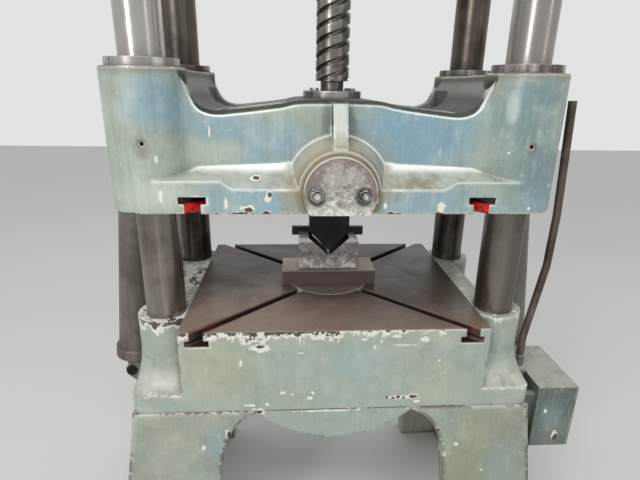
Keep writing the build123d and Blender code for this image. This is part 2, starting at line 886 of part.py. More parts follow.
with BuildPart() as handwheel:
    with BuildSketch(Plane.XY.offset(wheel_z)):
        Circle(56)
    extrude(amount=84)
    for heading in (0, 90, 180, 270):
        spoke = Plane(
            origin=(0, 0, wheel_z + 42),
            x_dir=(0, 0, 1),
            z_dir=(cos(radians(heading)), sin(radians(heading)), 0),
        )
        with BuildSketch(spoke.offset(30)):
            RectangleRounded(34, 24, 10)
        extrude(amount=wheel_r - 44)
    with BuildSketch(Plane.XZ):
        with Locations((wheel_r - 20, wheel_z + 42)):
            RectangleRounded(40, 56, 16)
    revolve(axis=Axis.Z)
    with Locations((0, 0, wheel_z + 84)):
        Hole(neck_r + slip)
    with Locations((0, neck_r, wheel_z + 6)):
        Box(10, 10, 100, align=(Align.CENTER, Align.CENTER, Align.MIN), mode=Mode.SUBTRACT)
    with Locations(*[(x, 0, wheel_z + 80) for x in (20 - wheel_r, wheel_r - 20)]):
        Cylinder(
            7, 40, align=(Align.CENTER, Align.CENTER, Align.MAX), mode=Mode.SUBTRACT
        )
finish(handwheel, "handwheel")

with BuildPart() as wheel_grips:
    for x in (20 - wheel_r, wheel_r - 20):
        with BuildSketch(Plane.XY.offset(wheel_z + 42)):
            with Locations((x, 0)):
                Circle(7)
        extrude(amount=28)
        with BuildSketch(Plane.XY.offset(wheel_z + 70)):
            with Locations((x, 0)):
                Circle(15)
        extrude(amount=96)
    fillet(
        [e for e in wheel_grips.edges() if abs(e.center().Z - wheel_z - 166) < 0.1], 9
    )
finish(wheel_grips, "wheel_grips")

with BuildPart() as wheel_nut:
    with BuildSketch(Plane.XY.offset(wheel_z + 84)):
        RegularPolygon(44, 6)
        Circle(neck_r, mode=Mode.SUBTRACT)
    extrude(amount=26)
finish(wheel_nut, "wheel_nut")

# Balance cylinders: each tube hangs on a pin at its foot, its rod on a pin in the
# crosshead's side lug. Heights along the tube are measured from the foot pin.
balance_run = hypot(
    balance_foot_x - balance_head_x, crosshead_z + balance_head_up - balance_foot_z
)
for name, side in (("left", -1), ("right", 1)):
    foot = (side * balance_foot_x, 0, balance_foot_z)
    lean = (
        side * (balance_head_x - balance_foot_x),
        0,
        crosshead_z + balance_head_up - balance_foot_z,
    )
    axis_plane = Plane(origin=foot, x_dir=(0, 1, 0), z_dir=lean)
    across = Plane(origin=foot, x_dir=(1, 0, 0), z_dir=(0, 1, 0))
    head = Plane(
        origin=(side * balance_head_x, 0, crosshead_z + balance_head_up),
        x_dir=(1, 0, 0),
        z_dir=(0, 1, 0),
    )

    with BuildPart() as balance_tube:
        with BuildSketch(axis_plane.offset(34)):
            Circle(tube_r)
        extrude(amount=tube_length - 34)
        with BuildSketch(axis_plane.offset(36)):
            Circle(tube_r + 7)
        extrude(amount=29)
        with BuildSketch(axis_plane.offset(-24)):
            Rectangle(40, 34)
        extrude(amount=60)
        with BuildSketch(axis_plane.offset(56)):
            Circle(tube_r - tube_wall)
        extrude(amount=tube_length, mode=Mode.SUBTRACT)
        with BuildSketch(across.offset(-30)):
            Circle(pin_r + slip)
        extrude(amount=60, mode=Mode.SUBTRACT)
    finish(balance_tube, f"balance_tube_{name}")

    with BuildPart() as balance_gland:
        with BuildSketch(axis_plane.offset(tube_length - 26)):
            Circle(tube_r - tube_wall)
        extrude(amount=26)
        with BuildSketch(axis_plane.offset(tube_length)):
            Circle(tube_r)
        extrude(amount=10)
        with BuildSketch(axis_plane.offset(tube_length - 27)):
            Circle(rod_r + slip)
        extrude(amount=60, mode=Mode.SUBTRACT)
    finish(balance_gland, f"balance_gland_{name}")

    with BuildPart() as balance_rod:
        with BuildSketch(axis_plane.offset(86)):
            Circle(tube_r - tube_wall - slip)
        extrude(amount=34)
        with BuildSketch(axis_plane.offset(120)):
            Circle(rod_r)
        extrude(amount=balance_run - 120)
        with BuildSketch(head.offset(-16)):
            Circle(pin_r + eye_play + 11)
        extrude(amount=32)
        with BuildSketch(head.offset(-30)):
            Circle(pin_r + eye_play)
        extrude(amount=60, mode=Mode.SUBTRACT)
    finish(balance_rod, f"balance_rod_{name}")

    with BuildPart() as head_pin:
        with BuildSketch(head.offset(-44)):
            Circle(pin_r)
        extrude(amount=88)
        with BuildSketch(head.offset(-44)):
            Circle(pin_r + 6)
        extrude(amount=6)
    finish(head_pin, f"head_pin_{name}")

    with BuildPart() as foot_pin:
        with BuildSketch(across.offset(-42)):
            Circle(pin_r)
        extrude(amount=84)
        with BuildSketch(across.offset(-42)):
            Circle(pin_r + 4)
        extrude(amount=6)
    finish(foot_pin, f"foot_pin_{name}")

    # Foot bracket: a back plate on the leg's sloping wall with two gusseted ears.
    with BuildPart() as foot_bracket:
        with BuildSketch(Plane.XZ):
            Polygon(
                (side * leg_outer_x(bracket_top), bracket_top),
                (side * (leg_outer_x(bracket_top) + 14), bracket_top),
                (side * (leg_outer_x(bracket_foot) + 14), bracket_foot),
                (side * leg_outer_x(bracket_foot), bracket_foot),
                align=None,
            )
        extrude(amount=64, both=True)
        for y in (-36, 22):
            with BuildSketch(Plane.XZ.offset(-y)):
                Polygon(
                    (side * leg_outer_x(bracket_top - 14), bracket_top - 14),
                    (side * (balance_foot_x + 2), bracket_top - 14),
                    (side * (balance_foot_x + 17), balance_foot_z + 6),
                    (side * (balance_foot_x + 12), balance_foot_z - 16),
                    (side * (leg_outer_x(bracket_foot) + 4), bracket_foot),
                    (side * leg_outer_x(bracket_foot), bracket_foot),
                    align=None,
                )
                with Locations((side * balance_foot_x, balance_foot_z)):
                    Circle(pin_r, mode=Mode.SUBTRACT)
            extrude(amount=-14)
    finish(foot_bracket, f"foot_bracket_{name}")

with BuildPart() as bracket_bolts:
    for side in (-1, 1):
        for y in (-50, 50):
            for z in (bracket_foot + 18, bracket_top - 30):
                seat = Plane(
                    origin=(side * (leg_outer_x(z) + 14), y, z),
                    x_dir=(0, 1, 0),
                    z_dir=(side, 0, leg_slope),
                )
                with BuildSketch(seat):
                    RegularPolygon(13.85, 6)
                extrude(amount=10)
finish(bracket_bolts, "bracket_bolts")

# Control box on two hanger plates beside the right leg, with its bent hand lever.
with BuildPart() as box_hangers:
    for y in (box_y + 14, box_y + box_depth - 34):
        with BuildSketch(Plane.XZ.offset(-y)):
            Polygon(
                (leg_outer_x(seam_z - 4), seam_z - 4),
                (box_x, seam_z - 4),
                (box_x, box_z + 20),
                (leg_outer_x(box_z + 20), box_z + 20),
                align=None,
            )
        extrude(amount=-16)
finish(box_hangers, "box_hangers")

with BuildPart() as control_box:
    with Locations((box_x, box_y, box_z)):
        Box(
            box_width - 5,
            box_depth,
            box_height,
            align=(Align.MIN, Align.MIN, Align.MIN),
        )
        with Locations((6, 6, 6)):
            Box(
                box_width,
                box_depth - 12,
                box_height - 12,
                align=(Align.MIN, Align.MIN, Align.MIN),
                mode=Mode.SUBTRACT,
            )
finish(control_box, "control_box")

cover_x = box_x + box_width - 5
with BuildPart() as box_cover:
    with Locations((cover_x, box_y, box_z)):
        Box(5, box_depth, box_height, align=(Align.MIN, Align.MIN, Align.MIN))
    chamfer(box_cover.faces().sort_by(Axis.X)[-1].edges(), 1.5)
finish(box_cover, "box_cover")

with BuildPart() as cover_screws:
    with BuildSketch(Plane.YZ.offset(box_x + box_width)):
        with Locations((box_y + box_depth / 2, box_z + box_height / 2)):
            with GridLocations(box_depth - 24, box_height - 24, 2, 2):
                Circle(5)
    extrude(amount=3)
finish(cover_screws, "cover_screws")

with BuildPart() as lever_pin:
    with BuildSketch(Plane.YZ.offset(flange_x)):
        with Locations((lever_y, lever_pivot_z)):
            Circle(8)
    extrude(amount=box_x - flange_x)
finish(lever_pin, "lever_pin")

with BuildPart() as lever_hub:
    with BuildSketch(Plane.YZ.offset(lever_x - 12)):
        with Locations((lever_y, lever_pivot_z)):
            Circle(19)
    extrude(amount=24)
    with BuildSketch(Plane.XY.offset(lever_pivot_z)):
        with Locations((lever_x, lever_y)):
            Circle(lever_r + 3)
    extrude(amount=lever_socket)
    with BuildSketch(Plane.XY.offset(lever_pivot_z + 30)):
        with Locations((lever_x, lever_y)):
            Circle(lever_r)
    extrude(amount=lever_socket, mode=Mode.SUBTRACT)
    with BuildSketch(Plane.YZ.offset(lever_x - 20)):
        with Locations((lever_y, lever_pivot_z)):
            Circle(8 + slip)
    extrude(amount=40, mode=Mode.SUBTRACT)
finish(lever_hub, "lever_hub")

with BuildPart() as control_lever:
    with BuildLine() as lever_path:
        FilletPolyline(
            (lever_x, lever_y, lever_pivot_z + 30),
            (lever_x, lever_y, 692),
            (lever_x + 28, lever_y, 884),
            (lever_x + 30, lever_y, 1012),
            (lever_x + 18, lever_y, 1267),
            radius=80,
        )
    with BuildSketch(Plane.XY.offset(lever_pivot_z + 30)):
        with Locations((lever_x, lever_y)):
            Circle(lever_r)
    sweep()
finish(control_lever, "control_lever")
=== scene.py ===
import math
from types import SimpleNamespace

import bmesh
import bpy
from mathutils import Matrix, Vector

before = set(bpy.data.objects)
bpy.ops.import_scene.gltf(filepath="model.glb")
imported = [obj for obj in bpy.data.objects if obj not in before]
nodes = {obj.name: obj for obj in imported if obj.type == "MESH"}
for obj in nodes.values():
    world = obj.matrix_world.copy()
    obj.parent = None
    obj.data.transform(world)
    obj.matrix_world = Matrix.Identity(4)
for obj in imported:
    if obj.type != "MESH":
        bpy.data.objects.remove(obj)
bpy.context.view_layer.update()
print("frame loaded:", len(nodes), "nodes")


# Small helpers for node trees

def addNode(tree, kind, inputs=None, **settings):
    n = tree.nodes.new(kind)
    for key, value in settings.items():
        setattr(n, key, value)
    for key, value in (inputs or {}).items():
        if isinstance(value, bpy.types.NodeSocket):
            tree.links.new(value, n.inputs[key])
        else:
            n.inputs[key].default_value = value
    return n


def calc(tree, operation, a, b=0.0, clamp=False):
    n = addNode(tree, "ShaderNodeMath", {0: a, 1: b}, operation=operation, use_clamp=clamp)
    return n.outputs[0]


def times(tree, first, *others):
    for other in others:
        first = calc(tree, "MULTIPLY", first, other)
    return first


def most(tree, first, *others):
    for other in others:
        first = calc(tree, "MAXIMUM", first, other)
    return first


def plus(tree, a, b):
    return calc(tree, "ADD", a, b)


def minus(tree, a, b):
    return calc(tree, "SUBTRACT", a, b)


def rest(tree, mask):  # what a mask leaves
    return minus(tree, 1.0, mask)


def unsigned(tree, value):  # without its sign
    return calc(tree, "ABSOLUTE", value)


def vectorCalc(tree, operation, inputs, output=0):
    return addNode(tree, "ShaderNodeVectorMath", inputs, operation=operation).outputs[output]


def blendColor(tree, share, a, b):
    n = addNode(tree, "ShaderNodeMix", {0: share, 6: a, 7: b}, data_type="RGBA")
    return n.outputs[2]


def ramp(tree, value, low, high, start=0.0, end=1.0):
    # goes smoothly from start to end while the value goes from low to high
    n = addNode(
        tree,
        "ShaderNodeMapRange",
        {"Value": value, "From Min": low, "From Max": high, "To Min": start, "To Max": end},
        interpolation_type="SMOOTHSTEP",
    )
    return n.outputs[0]


def noise(tree, at, scale, detail=3.0, rough=0.55, warp=0.0):
    inputs = {"Vector": at, "Scale": scale, "Detail": detail, "Roughness": rough}
    return addNode(tree, "ShaderNodeTexNoise", {**inputs, "Distortion": warp}).outputs[0]


def mapped(tree, at, **inputs):
    return addNode(tree, "ShaderNodeMapping", {"Vector": at, **inputs}).outputs[0]


def split(tree, at):
    return addNode(tree, "ShaderNodeSeparateXYZ", {"Vector": at}).outputs


def objectSpot(tree):
    return addNode(tree, "ShaderNodeTexCoord").outputs["Object"]


def surfaceNormal(tree):
    return split(tree, addNode(tree, "ShaderNodeNewGeometry").outputs["Normal"])


def hollowShade(tree, reach, low, high, start, end):
    # dirt and painted shade where two faces meet, darker where ambient occlusion finds the
    # surface closed in
    n = addNode(tree, "ShaderNodeAmbientOcclusion", {"Distance": reach}, samples=3)
    return ramp(tree, n.outputs["AO"], low, high, start, end)


def linear(r, g, b):
    # 0-255 display colour to scene colour
    def one(v):
        v = v / 255
        return v / 12.92 if v <= 0.04045 else ((v + 0.055) / 1.055) ** 2.4

    return (one(r), one(g), one(b), 1)


def layOn(tree, color, layers):
    # each layer is a share and a shade, and the last one lies on top
    for share, shade in layers:
        color = blendColor(tree, share, color, linear(*shade))
    return color


def startGroup(name, inputs, outputs):
    group = bpy.data.node_groups.new(name, "ShaderNodeTree")
    for key, kind, value in inputs:
        socket = group.interface.new_socket(key, in_out="INPUT", socket_type=kind)
        socket.default_value = value
    for key, kind in outputs:
        group.interface.new_socket(key, in_out="OUTPUT", socket_type=kind)
    return group, group.nodes.new("NodeGroupInput").outputs


def closeGroup(group, results):
    addNode(group, "NodeGroupOutput", results)
    return group


def place(tree, group, inputs):
    return addNode(tree, "ShaderNodeGroup", inputs, node_tree=group).outputs


# Camera, floor and light
camera = {
    "place": (-0.0972, -1.1743, 1.288),
    "turn": 3.61,  # degrees to the right of straight ahead
    "tilt": 18.57,  # degrees down
    "roll": 0.93,
    "focal": 25.70,
    "sensor": 36,  # mm wide
    "clip": (0.05, 60),
}


def makeCamera(c):
    turn, tilt, roll = (math.radians(c[k]) for k in ("turn", "tilt", "roll"))
    ahead = Vector(
        (math.sin(turn) * math.cos(tilt), math.cos(turn) * math.cos(tilt), -math.sin(tilt))
    )
    level = Vector((math.cos(turn), -math.sin(turn), 0))
    upright = level.cross(ahead)
    right = level * math.cos(roll) + upright * math.sin(roll)
    top = upright * math.cos(roll) - level * math.sin(roll)
    data = bpy.data.cameras.new("camera")
    data.lens = c["focal"]
    data.sensor_width = c["sensor"]
    data.clip_start, data.clip_end = c["clip"]
    cam = bpy.data.objects.new("camera", data)
    bpy.context.scene.collection.objects.link(cam)
    turnMatrix = Matrix((right, top, -ahead)).transposed()
    cam.matrix_world = Matrix.Translation(c["place"]) @ turnMatrix.to_4x4()
    bpy.context.scene.camera = cam


lampTarget = (0, 0, 1.0)
lights = {
    "ceiling": {"place": (-0.5, -2.2, 3.2), "size": (2.6, 0.45), "power": 50},
    "frontLeft": {"place": (-2.1, -3.2, 2.2), "size": (0.6, 2.0), "power": 38},
    "frontRight": {"place": (2.9, -2.4, 1.9), "size": (0.4, 2.2), "power": 5},
    "rear": {"place": (0.4, 2.9, 2.6), "size": (3.0, 1.6), "power": 8},
}


def makeLights(plan):
    for name, l in plan.items():
        data = bpy.data.lights.new(name, "AREA")
        data.shape = "RECTANGLE"
        data.size, data.size_y = l["size"]
        data.energy = l["power"]
        lamp = bpy.data.objects.new(name, data)
        lamp.location = l["place"]
        aim = Vector(lampTarget) - Vector(l["place"])
        lamp.rotation_euler = aim.to_track_quat("-Z", "Y").to_euler()
        bpy.context.scene.collection.objects.link(lamp)


studio = {
    "sky": (0.97, 0.98, 1, 1),
    "rise": (0.02, 0.55),  # heights of view between which the sky brightens
    "strength": (0.22, 0.78),
    "backdrop": (226, 227, 226),
}


def makeWorld(plan):
    world = bpy.data.worlds.new("studio")
    bpy.context.scene.world = world
    world.use_nodes = True
    tree = world.node_tree
    tree.nodes.clear()
    path = addNode(tree, "ShaderNodeLightPath").outputs
    seen = most(
        tree, path["Is Camera Ray"], path["Is Glossy Ray"], path["Is Transmission Ray"]
    )
    # brighter overhead than at eye level, so that round steel has something to mirror
    heading = addNode(tree, "ShaderNodeTexCoord").outputs["Generated"]
    sky = ramp(tree, split(tree, heading)["Z"], *plan["rise"], *plan["strength"])
    soft = addNode(tree, "ShaderNodeBackground", {"Color": plan["sky"], "Strength": sky})
    backdrop = {"Color": linear(*plan["backdrop"]), "Strength": 1}
    pale = addNode(tree, "ShaderNodeBackground", backdrop)
    mix = addNode(
        tree, "ShaderNodeMixShader", {0: seen, 1: soft.outputs[0], 2: pale.outputs[0]}
    )
    addNode(tree, "ShaderNodeOutputWorld", {0: mix.outputs[0]})


floorPlan = {"half": 9, "color": (205, 204, 200), "rough": 0.9}


def makeFloor(plan):
    bm = bmesh.new()
    bmesh.ops.create_grid(bm, x_segments=1, y_segments=1, size=plan["half"])
    mesh = bpy.data.meshes.new("floor")
    bm.to_mesh(mesh)
    bm.free()
    floor = bpy.data.objects.new("floor", mesh)
    bpy.context.scene.collection.objects.link(floor)
    mat = bpy.data.materials.new("floorPale")
    mat.use_nodes = True
    skin = mat.node_tree.nodes["Principled BSDF"]
    skin.inputs["Base Color"].default_value = linear(*plan["color"])
    skin.inputs["Roughness"].default_value = plan["rough"]
    mesh.materials.append(mat)


makeCamera(camera)
makeLights(lights)
makeWorld(studio)
makeFloor(floorPlan)
bpy.context.scene.view_settings.view_transform = "Standard"
print("camera, lights and floor made")


# Effects that several finishes share

def makeEdgeGroup():
    # how sharp an edge is, how worn it is, broken up by grain, and its rounded normal
    tree, given = startGroup(
        "edgeWear",
        [("Width", "NodeSocketFloat", 0.004), ("Grain", "NodeSocketFloat", 60.0)],
        [
            ("Level", "NodeSocketFloat"),
            ("Edge", "NodeSocketFloat"),
            ("Normal", "NodeSocketVector"),
        ],
    )
    spot = objectSpot(tree)
    rounded = addNode(tree, "ShaderNodeBevel", {"Radius": given["Width"]}, samples=4)
    rounded = rounded.outputs[0]
    flat = addNode(tree, "ShaderNodeNewGeometry").outputs["True Normal"]
    meet = vectorCalc(tree, "DOT_PRODUCT", {0: rounded, 1: flat}, "Value")
    edge = calc(tree, "MULTIPLY", rest(tree, meet), 6.0, True)
    grain = noise(tree, spot, given["Grain"], 4.0, 0.7)
    area = noise(tree, spot, 8.0, 1.0, 0.5)
    grain = plus(tree, times(tree, grain, 1.7), times(tree, area, 1.5))
    level = times(tree, edge, minus(tree, grain, 0.8))
    return closeGroup(tree, {"Level": level, "Edge": edge, "Normal": rounded})


def makeStreakGroup():
    # runs of dirt and wash marks that hang down a wall
    tree, given = startGroup(
        "streaks",
        [("Fine", "NodeSocketFloat", 42.0), ("Drop", "NodeSocketFloat", 2.2)],
        [("Mask", "NodeSocketFloat")],
    )
    spot = objectSpot(tree)
    pull = {"X": given["Fine"], "Y": given["Fine"], "Z": given["Drop"]}
    pull = addNode(tree, "ShaderNodeCombineXYZ", pull).outputs[0]
    lined = vectorCalc(tree, "MULTIPLY", {0: spot, 1: pull})
    runs = noise(tree, lined, 1.0, 3.0, 0.6)
    area = noise(tree, spot, 3.1, 1.0, 0.5)
    mask = times(tree, ramp(tree, runs, 0.45, 0.72), ramp(tree, area, 0.36, 0.62))
    return closeGroup(tree, {"Mask": mask})


groundWear = {
    "scratches": [(0.35, 0.20), (-0.9, 0.13), (1.5, 0.16)],  # direction in radians, share
    "paintedFrontLight": (172, 150, 134),
    "paintedRearShade": (42, 34, 28),
    "pitShade": (56, 44, 36),
}


def makeGroundGroup(wear):
    # flat ground iron gone brown, with rubbed places, scratches and rust, painted shade
    # towards the rear and the right, and painted light on the front
    tree, given = startGroup(
        "groundIron",
        [
            ("Base", "NodeSocketColor", linear(134, 117, 104)),
            ("Rust", "NodeSocketColor", linear(108, 86, 72)),
            ("Worn", "NodeSocketColor", linear(176, 166, 154)),
            ("RearShade", "NodeSocketFloat", 0.80),
        ],
        [
            ("Color", "NodeSocketColor"),
            ("Rough", "NodeSocketFloat"),
            ("Pits", "NodeSocketFloat"),
        ],
    )
    spot = objectSpot(tree)
    cloud = noise(tree, spot, 4.4, 4.0, 0.62, 0.5)
    fine = noise(tree, spot, 38.0, 4.0, 0.7)
    pits = noise(tree, spot, 230.0, 2.0, 0.7)
    color = blendColor(tree, ramp(tree, cloud, 0.42, 0.68), given["Base"], given["Rust"])
    color = blendColor(tree, ramp(tree, fine, 0.52, 0.8, 0.0, 0.5), color, given["Worn"])
    for turn, share in wear["scratches"]:
        lines = mapped(tree, spot, Rotation=(0, 0, turn), Scale=(380, 8.0, 8.0))
        scratch = ramp(tree, noise(tree, lines, 1.0, 2.0, 0.6), 0.60, 0.74, 0.0, share)
        color = blendColor(tree, scratch, color, given["Worn"])
    # painted shade from the middle to the rear and the right, where the crosshead's shadow
    # falls, and painted light on the front
    xyz = split(tree, spot)
    back = plus(tree, xyz["Y"], times(tree, cloud, 0.2))
    back = plus(tree, back, times(tree, xyz["X"], 0.35))
    layers = [
        (ramp(tree, xyz["Y"], -0.08, -0.22, 0.0, 0.5), wear["paintedFrontLight"]),
        (times(tree, ramp(tree, back, -0.18, 0.14), given["RearShade"]), wear["paintedRearShade"]),
        (ramp(tree, pits, 0.56, 0.74, 0.0, 0.5), wear["pitShade"]),
    ]
    results = {
        "Color": layOn(tree, color, layers),
        "Rough": ramp(tree, cloud, 0.3, 0.7, 0.36, 0.52),
        "Pits": pits,
    }
    return closeGroup(tree, results)


edgeWear = makeEdgeGroup()
streaks = makeStreakGroup()
groundIron = makeGroundGroup(groundWear)
print("shared effects made")


# Helpers for places on the object

def farness(tree, spot, center, size):
    # distance from a centre, in units of the patch's own half width and half height
    sx, sz = 1 / size[0], 1 / size[1]
    shift = (-center[0] * sx, 0, -center[1] * sz)
    moved = mapped(tree, spot, Scale=(sx, 0, sz), Location=shift)
    return vectorCalc(tree, "LENGTH", {0: moved}, "Value")


def nearest(tree, spot, marks):
    level = None
    for x, z, wide, tall in marks:
        d = farness(tree, spot, (x, z), (wide, tall))
        level = d if level is None else calc(tree, "MINIMUM", level, d)
    return level


def softPatch(s, center, size, fade, share, ragged):
    # fades between two distances, with an edge that a noise makes ragged
    far = plus(s.tree, farness(s.tree, s.spot, center, size), ragged)
    return ramp(s.tree, far, *fade, share, 0.0)


def inside(tree, apart, half):
    # apart is an unsigned distance from the middle
    return ramp(tree, apart, half, half - 0.0001)


def fromDiagonal(s, degrees):
    # distance from the middle line of a diagonal slot
    heading = math.radians(degrees)
    along = times(s.tree, s.aside, math.sin(heading))
    over = times(s.tree, s.inward, math.cos(heading))
    return unsigned(s.tree, minus(s.tree, along, over))


def startMaterial(name):
    mat = bpy.data.materials.new(name)
    mat.use_nodes = True
    tree = mat.node_tree
    return mat, tree, tree.nodes["Principled BSDF"], objectSpot(tree)


def wire(tree, skin, color, rough, metal, height, depth, normal=None):
    for key, value in (("Base Color", color), ("Roughness", rough), ("Metallic", metal)):
        if isinstance(value, bpy.types.NodeSocket):
            tree.links.new(value, skin.inputs[key])
        else:
            skin.inputs[key].default_value = value
    inputs = {"Height": height, "Distance": depth, "Strength": 1.0}
    if normal is not None:
        inputs["Normal"] = normal
    bump = addNode(tree, "ShaderNodeBump", inputs)
    tree.links.new(bump.outputs[0], skin.inputs["Normal"])


# Paint
blueGrey = (128, 158, 172)
greyGreen = (158, 170, 158)
# soft patches of another shade: centre x and z, half width, half height, shade, share
crossheadTones = [
    (-0.36, 1.245, 0.060, 0.065, (118, 151, 170), 0.75),
    (-0.25, 1.205, 0.055, 0.035, (120, 152, 168), 0.6),
    (-0.13, 1.175, 0.070, 0.055, (122, 154, 176), 0.6),
    (-0.40, 1.165, 0.080, 0.060, (150, 154, 140), 0.7),
    (-0.37, 1.075, 0.085, 0.035, (188, 192, 178), 0.7),
    (-0.24, 1.150, 0.050, 0.030, (172, 182, 168), 0.5),
    (-0.44, 1.29, 0.045, 0.030, (150, 146, 132), 0.5),
    (-0.17, 1.060, 0.160, 0.030, (132, 162, 172), 0.6),
    (0.17, 1.190, 0.120, 0.080, (118, 153, 172), 0.78),
    (0.20, 1.060, 0.140, 0.030, (128, 158, 172), 0.65),
    (0.33, 1.14, 0.050, 0.085, (158, 168, 152), 0.7),
    (0.38, 1.25, 0.055, 0.055, (120, 150, 160), 0.6),
    (0.30, 1.29, 0.030, 0.030, (156, 156, 142), 0.6),
    (0.43, 1.12, 0.035, 0.080, (122, 148, 150), 0.6),
    (0.0, 1.12, 0.130, 0.075, (158, 154, 132), 0.8),
    (-0.055, 1.25, 0.045, 0.060, (150, 158, 144), 0.75),
    (0.060, 1.25, 0.040, 0.060, (138, 156, 152), 0.65),
    # these two are painted shade in the creases either side of the rib
    (-0.026, 1.23, 0.010, 0.060, (104, 112, 98), 0.7),
    (0.026, 1.23, 0.010, 0.060, (112, 122, 110), 0.6),
    (0.0, 1.23, 0.013, 0.070, (152, 152, 136), 0.85),
    (0.40, 1.20, 0.085, 0.140, (106, 127, 130), 0.75),
    (0.345, 1.252, 0.010, 0.030, (196, 204, 200), 0.6),
    (0.217, 1.157, 0.005, 0.012, (196, 212, 216), 0.7),
]
bedTones = [
    (-0.26, 0.67, 0.090, 0.090, (160, 168, 146), 0.6),
    (-0.10, 0.70, 0.080, 0.060, (156, 174, 170), 0.5),
    (0.24, 0.73, 0.080, 0.040, (148, 170, 170), 0.35),
    (0.05, 0.70, 0.070, 0.055, (144, 168, 170), 0.6),
    (0.06, 0.62, 0.130, 0.060, (158, 172, 164), 0.5),
    (0.25, 0.62, 0.080, 0.060, (170, 178, 158), 0.5),
]
legTones = [
    (-0.28, 0.50, 0.030, 0.060, (134, 156, 160), 0.7),
    (-0.38, 0.45, 0.060, 0.090, (164, 170, 158), 0.5),
    (0.34, 0.50, 0.060, 0.080, (156, 160, 136), 0.6),
    (0.40, 0.44, 0.110, 0.140, (134, 138, 118), 0.6),
    (0.42, 0.40, 0.050, 0.080, (142, 160, 160), 0.5),
]
# single chips down to the primer, and cores down to the iron: x, z, half width and height
crossheadChips = [
    (-0.186, 1.048, 0.014, 0.008),
    (-0.147, 1.072, 0.007, 0.012),
    (-0.293, 1.075, 0.006, 0.003),
    (-0.360, 1.073, 0.004, 0.013),
    (-0.364, 1.147, 0.003, 0.007),
    (-0.174, 1.108, 0.011, 0.005),
    (-0.267, 1.198, 0.002, 0.011),
    (-0.232, 1.062, 0.003, 0.010),
    (0.213, 1.053, 0.007, 0.009),
    (0.348, 1.164, 0.002, 0.002),
    (0.077, 1.068, 0.003, 0.009),
    (0.095, 1.055, 0.003, 0.006),
    (0.447, 1.096, 0.003, 0.005),
    (0.402, 1.050, 0.004, 0.004),
]
crossheadCores = [
    (-0.186, 1.046, 0.009, 0.005),
    (-0.144, 1.077, 0.004, 0.005),
    (-0.172, 1.108, 0.006, 0.0025),
]
bedChips = [
    (-0.213, 0.704, 0.003, 0.008),
    (-0.082, 0.726, 0.008, 0.0018),
    (-0.121, 0.622, 0.006, 0.004),
    (-0.100, 0.617, 0.004, 0.002),
    (-0.059, 0.607, 0.006, 0.004),
    (-0.052, 0.620, 0.004, 0.004),
    (-0.014, 0.570, 0.070, 0.0022),
    (0.150, 0.603, 0.040, 0.0045),
    (0.184, 0.603, 0.012, 0.0065),
    (0.060, 0.758, 0.008, 0.003),
    (0.100, 0.752, 0.003, 0.006),
    (0.130, 0.765, 0.012, 0.004),
    (0.085, 0.738, 0.0025, 0.006),
    (-0.158, 0.593, 0.004, 0.004),
    (-0.178, 0.572, 0.020, 0.008),
    (-0.196, 0.590, 0.013, 0.003),
    (-0.170, 0.741, 0.020, 0.010),
    (0.197, 0.757, 0.011, 0.006),
    (0.192, 0.590, 0.007, 0.004),
    (0.184, 0.572, 0.014, 0.006),
    (0.235, 0.700, 0.003, 0.003),
    (0.150, 0.742, 0.024, 0.0014),
]
bedCores = [
    (-0.170, 0.744, 0.010, 0.004),
    (-0.180, 0.571, 0.013, 0.004),
    (0.183, 0.571, 0.008, 0.003),
    (0.120, 0.603, 0.004, 0.0035),
    (0.134, 0.601, 0.004, 0.0035),
    (0.147, 0.604, 0.004, 0.0035),
    (0.160, 0.602, 0.004, 0.0035),
    (0.184, 0.603, 0.009, 0.0045),
]
legChips = [
    (0.298, 0.467, 0.004, 0.004),
    (0.371, 0.387, 0.003, 0.003),
    (-0.308, 0.478, 0.004, 0.006),
    (-0.250, 0.515, 0.007, 0.012),
    (0.247, 0.510, 0.007, 0.010),
    (0.270, 0.440, 0.006, 0.009),
]
legCores = [
    (-0.247, 0.513, 0.004, 0.007),
    (0.250, 0.508, 0.004, 0.005),
]
noMarks = [(0, -9, 1, 1)]  # far off the object

# crest: shade of rubbed edges, which also carry a painted highlight; runs: share of hanging
# dirt;
# wornShare: how far the edges are worn; front: the single chips lie in front of this Y
paints = {
    "crossheadPaint": {
        "crest": (240, 243, 236),
        "runs": 0.3,
        "blue": blueGrey,
        "green": greyGreen,
        "pale": (180, 190, 180),
        "tones": crossheadTones,
        "chips": crossheadChips,
        "cores": crossheadCores,
        "edgeWidth": 0.010,
        "wornShare": 0.85,
        "front": -0.19,
    },
    "bedPaint": {
        "crest": (220, 224, 212),
        "runs": 0.16,
        "blue": (150, 163, 156),
        "green": (160, 165, 148),
        "pale": (184, 187, 173),
        "tones": bedTones,
        "chips": bedChips,
        "cores": bedCores,
        "edgeWidth": 0.009,
        "wornShare": 1.0,
        "front": -0.24,
    },
    "legPaint": {
        "crest": (214, 216, 202),
        "runs": 0.2,
        "blue": (136, 148, 138),
        "green": (149, 151, 131),
        "pale": (180, 184, 168),
        "tones": legTones,
        "chips": legChips,
        "cores": legCores,
        "edgeWidth": 0.026,
        "wornShare": 1.38,
        "front": -0.24,
    },
    "crownPaint": {
        "crest": (226, 230, 220),
        "runs": 0.3,
        "blue": blueGrey,
        "green": greyGreen,
        "pale": (182, 192, 182),
        "tones": [(0.1, 1.85, 0.2, 0.1, (120, 150, 166), 0.6)],
        "chips": noMarks,
        "cores": noMarks,
        "edgeWidth": 0.005,
        "wornShare": 1.0,
        "front": -0.19,
    },
    "boxPaint": {
        "crest": (176, 180, 166),
        "runs": 0.35,
        "blue": (80, 95, 91),
        "green": (91, 98, 83),
        "pale": (138, 140, 124),
        "tones": [(0.55, 0.50, 0.03, 0.05, (122, 150, 160), 0.7)],
        "chips": [(0.565, 0.455, 0.008, 0.012), (0.53, 0.53, 0.004, 0.006)],
        "cores": [(0.568, 0.450, 0.006, 0.010)],
        "edgeWidth": 0.003,
        "wornShare": 1.0,
        "front": -0.20,
    },
}

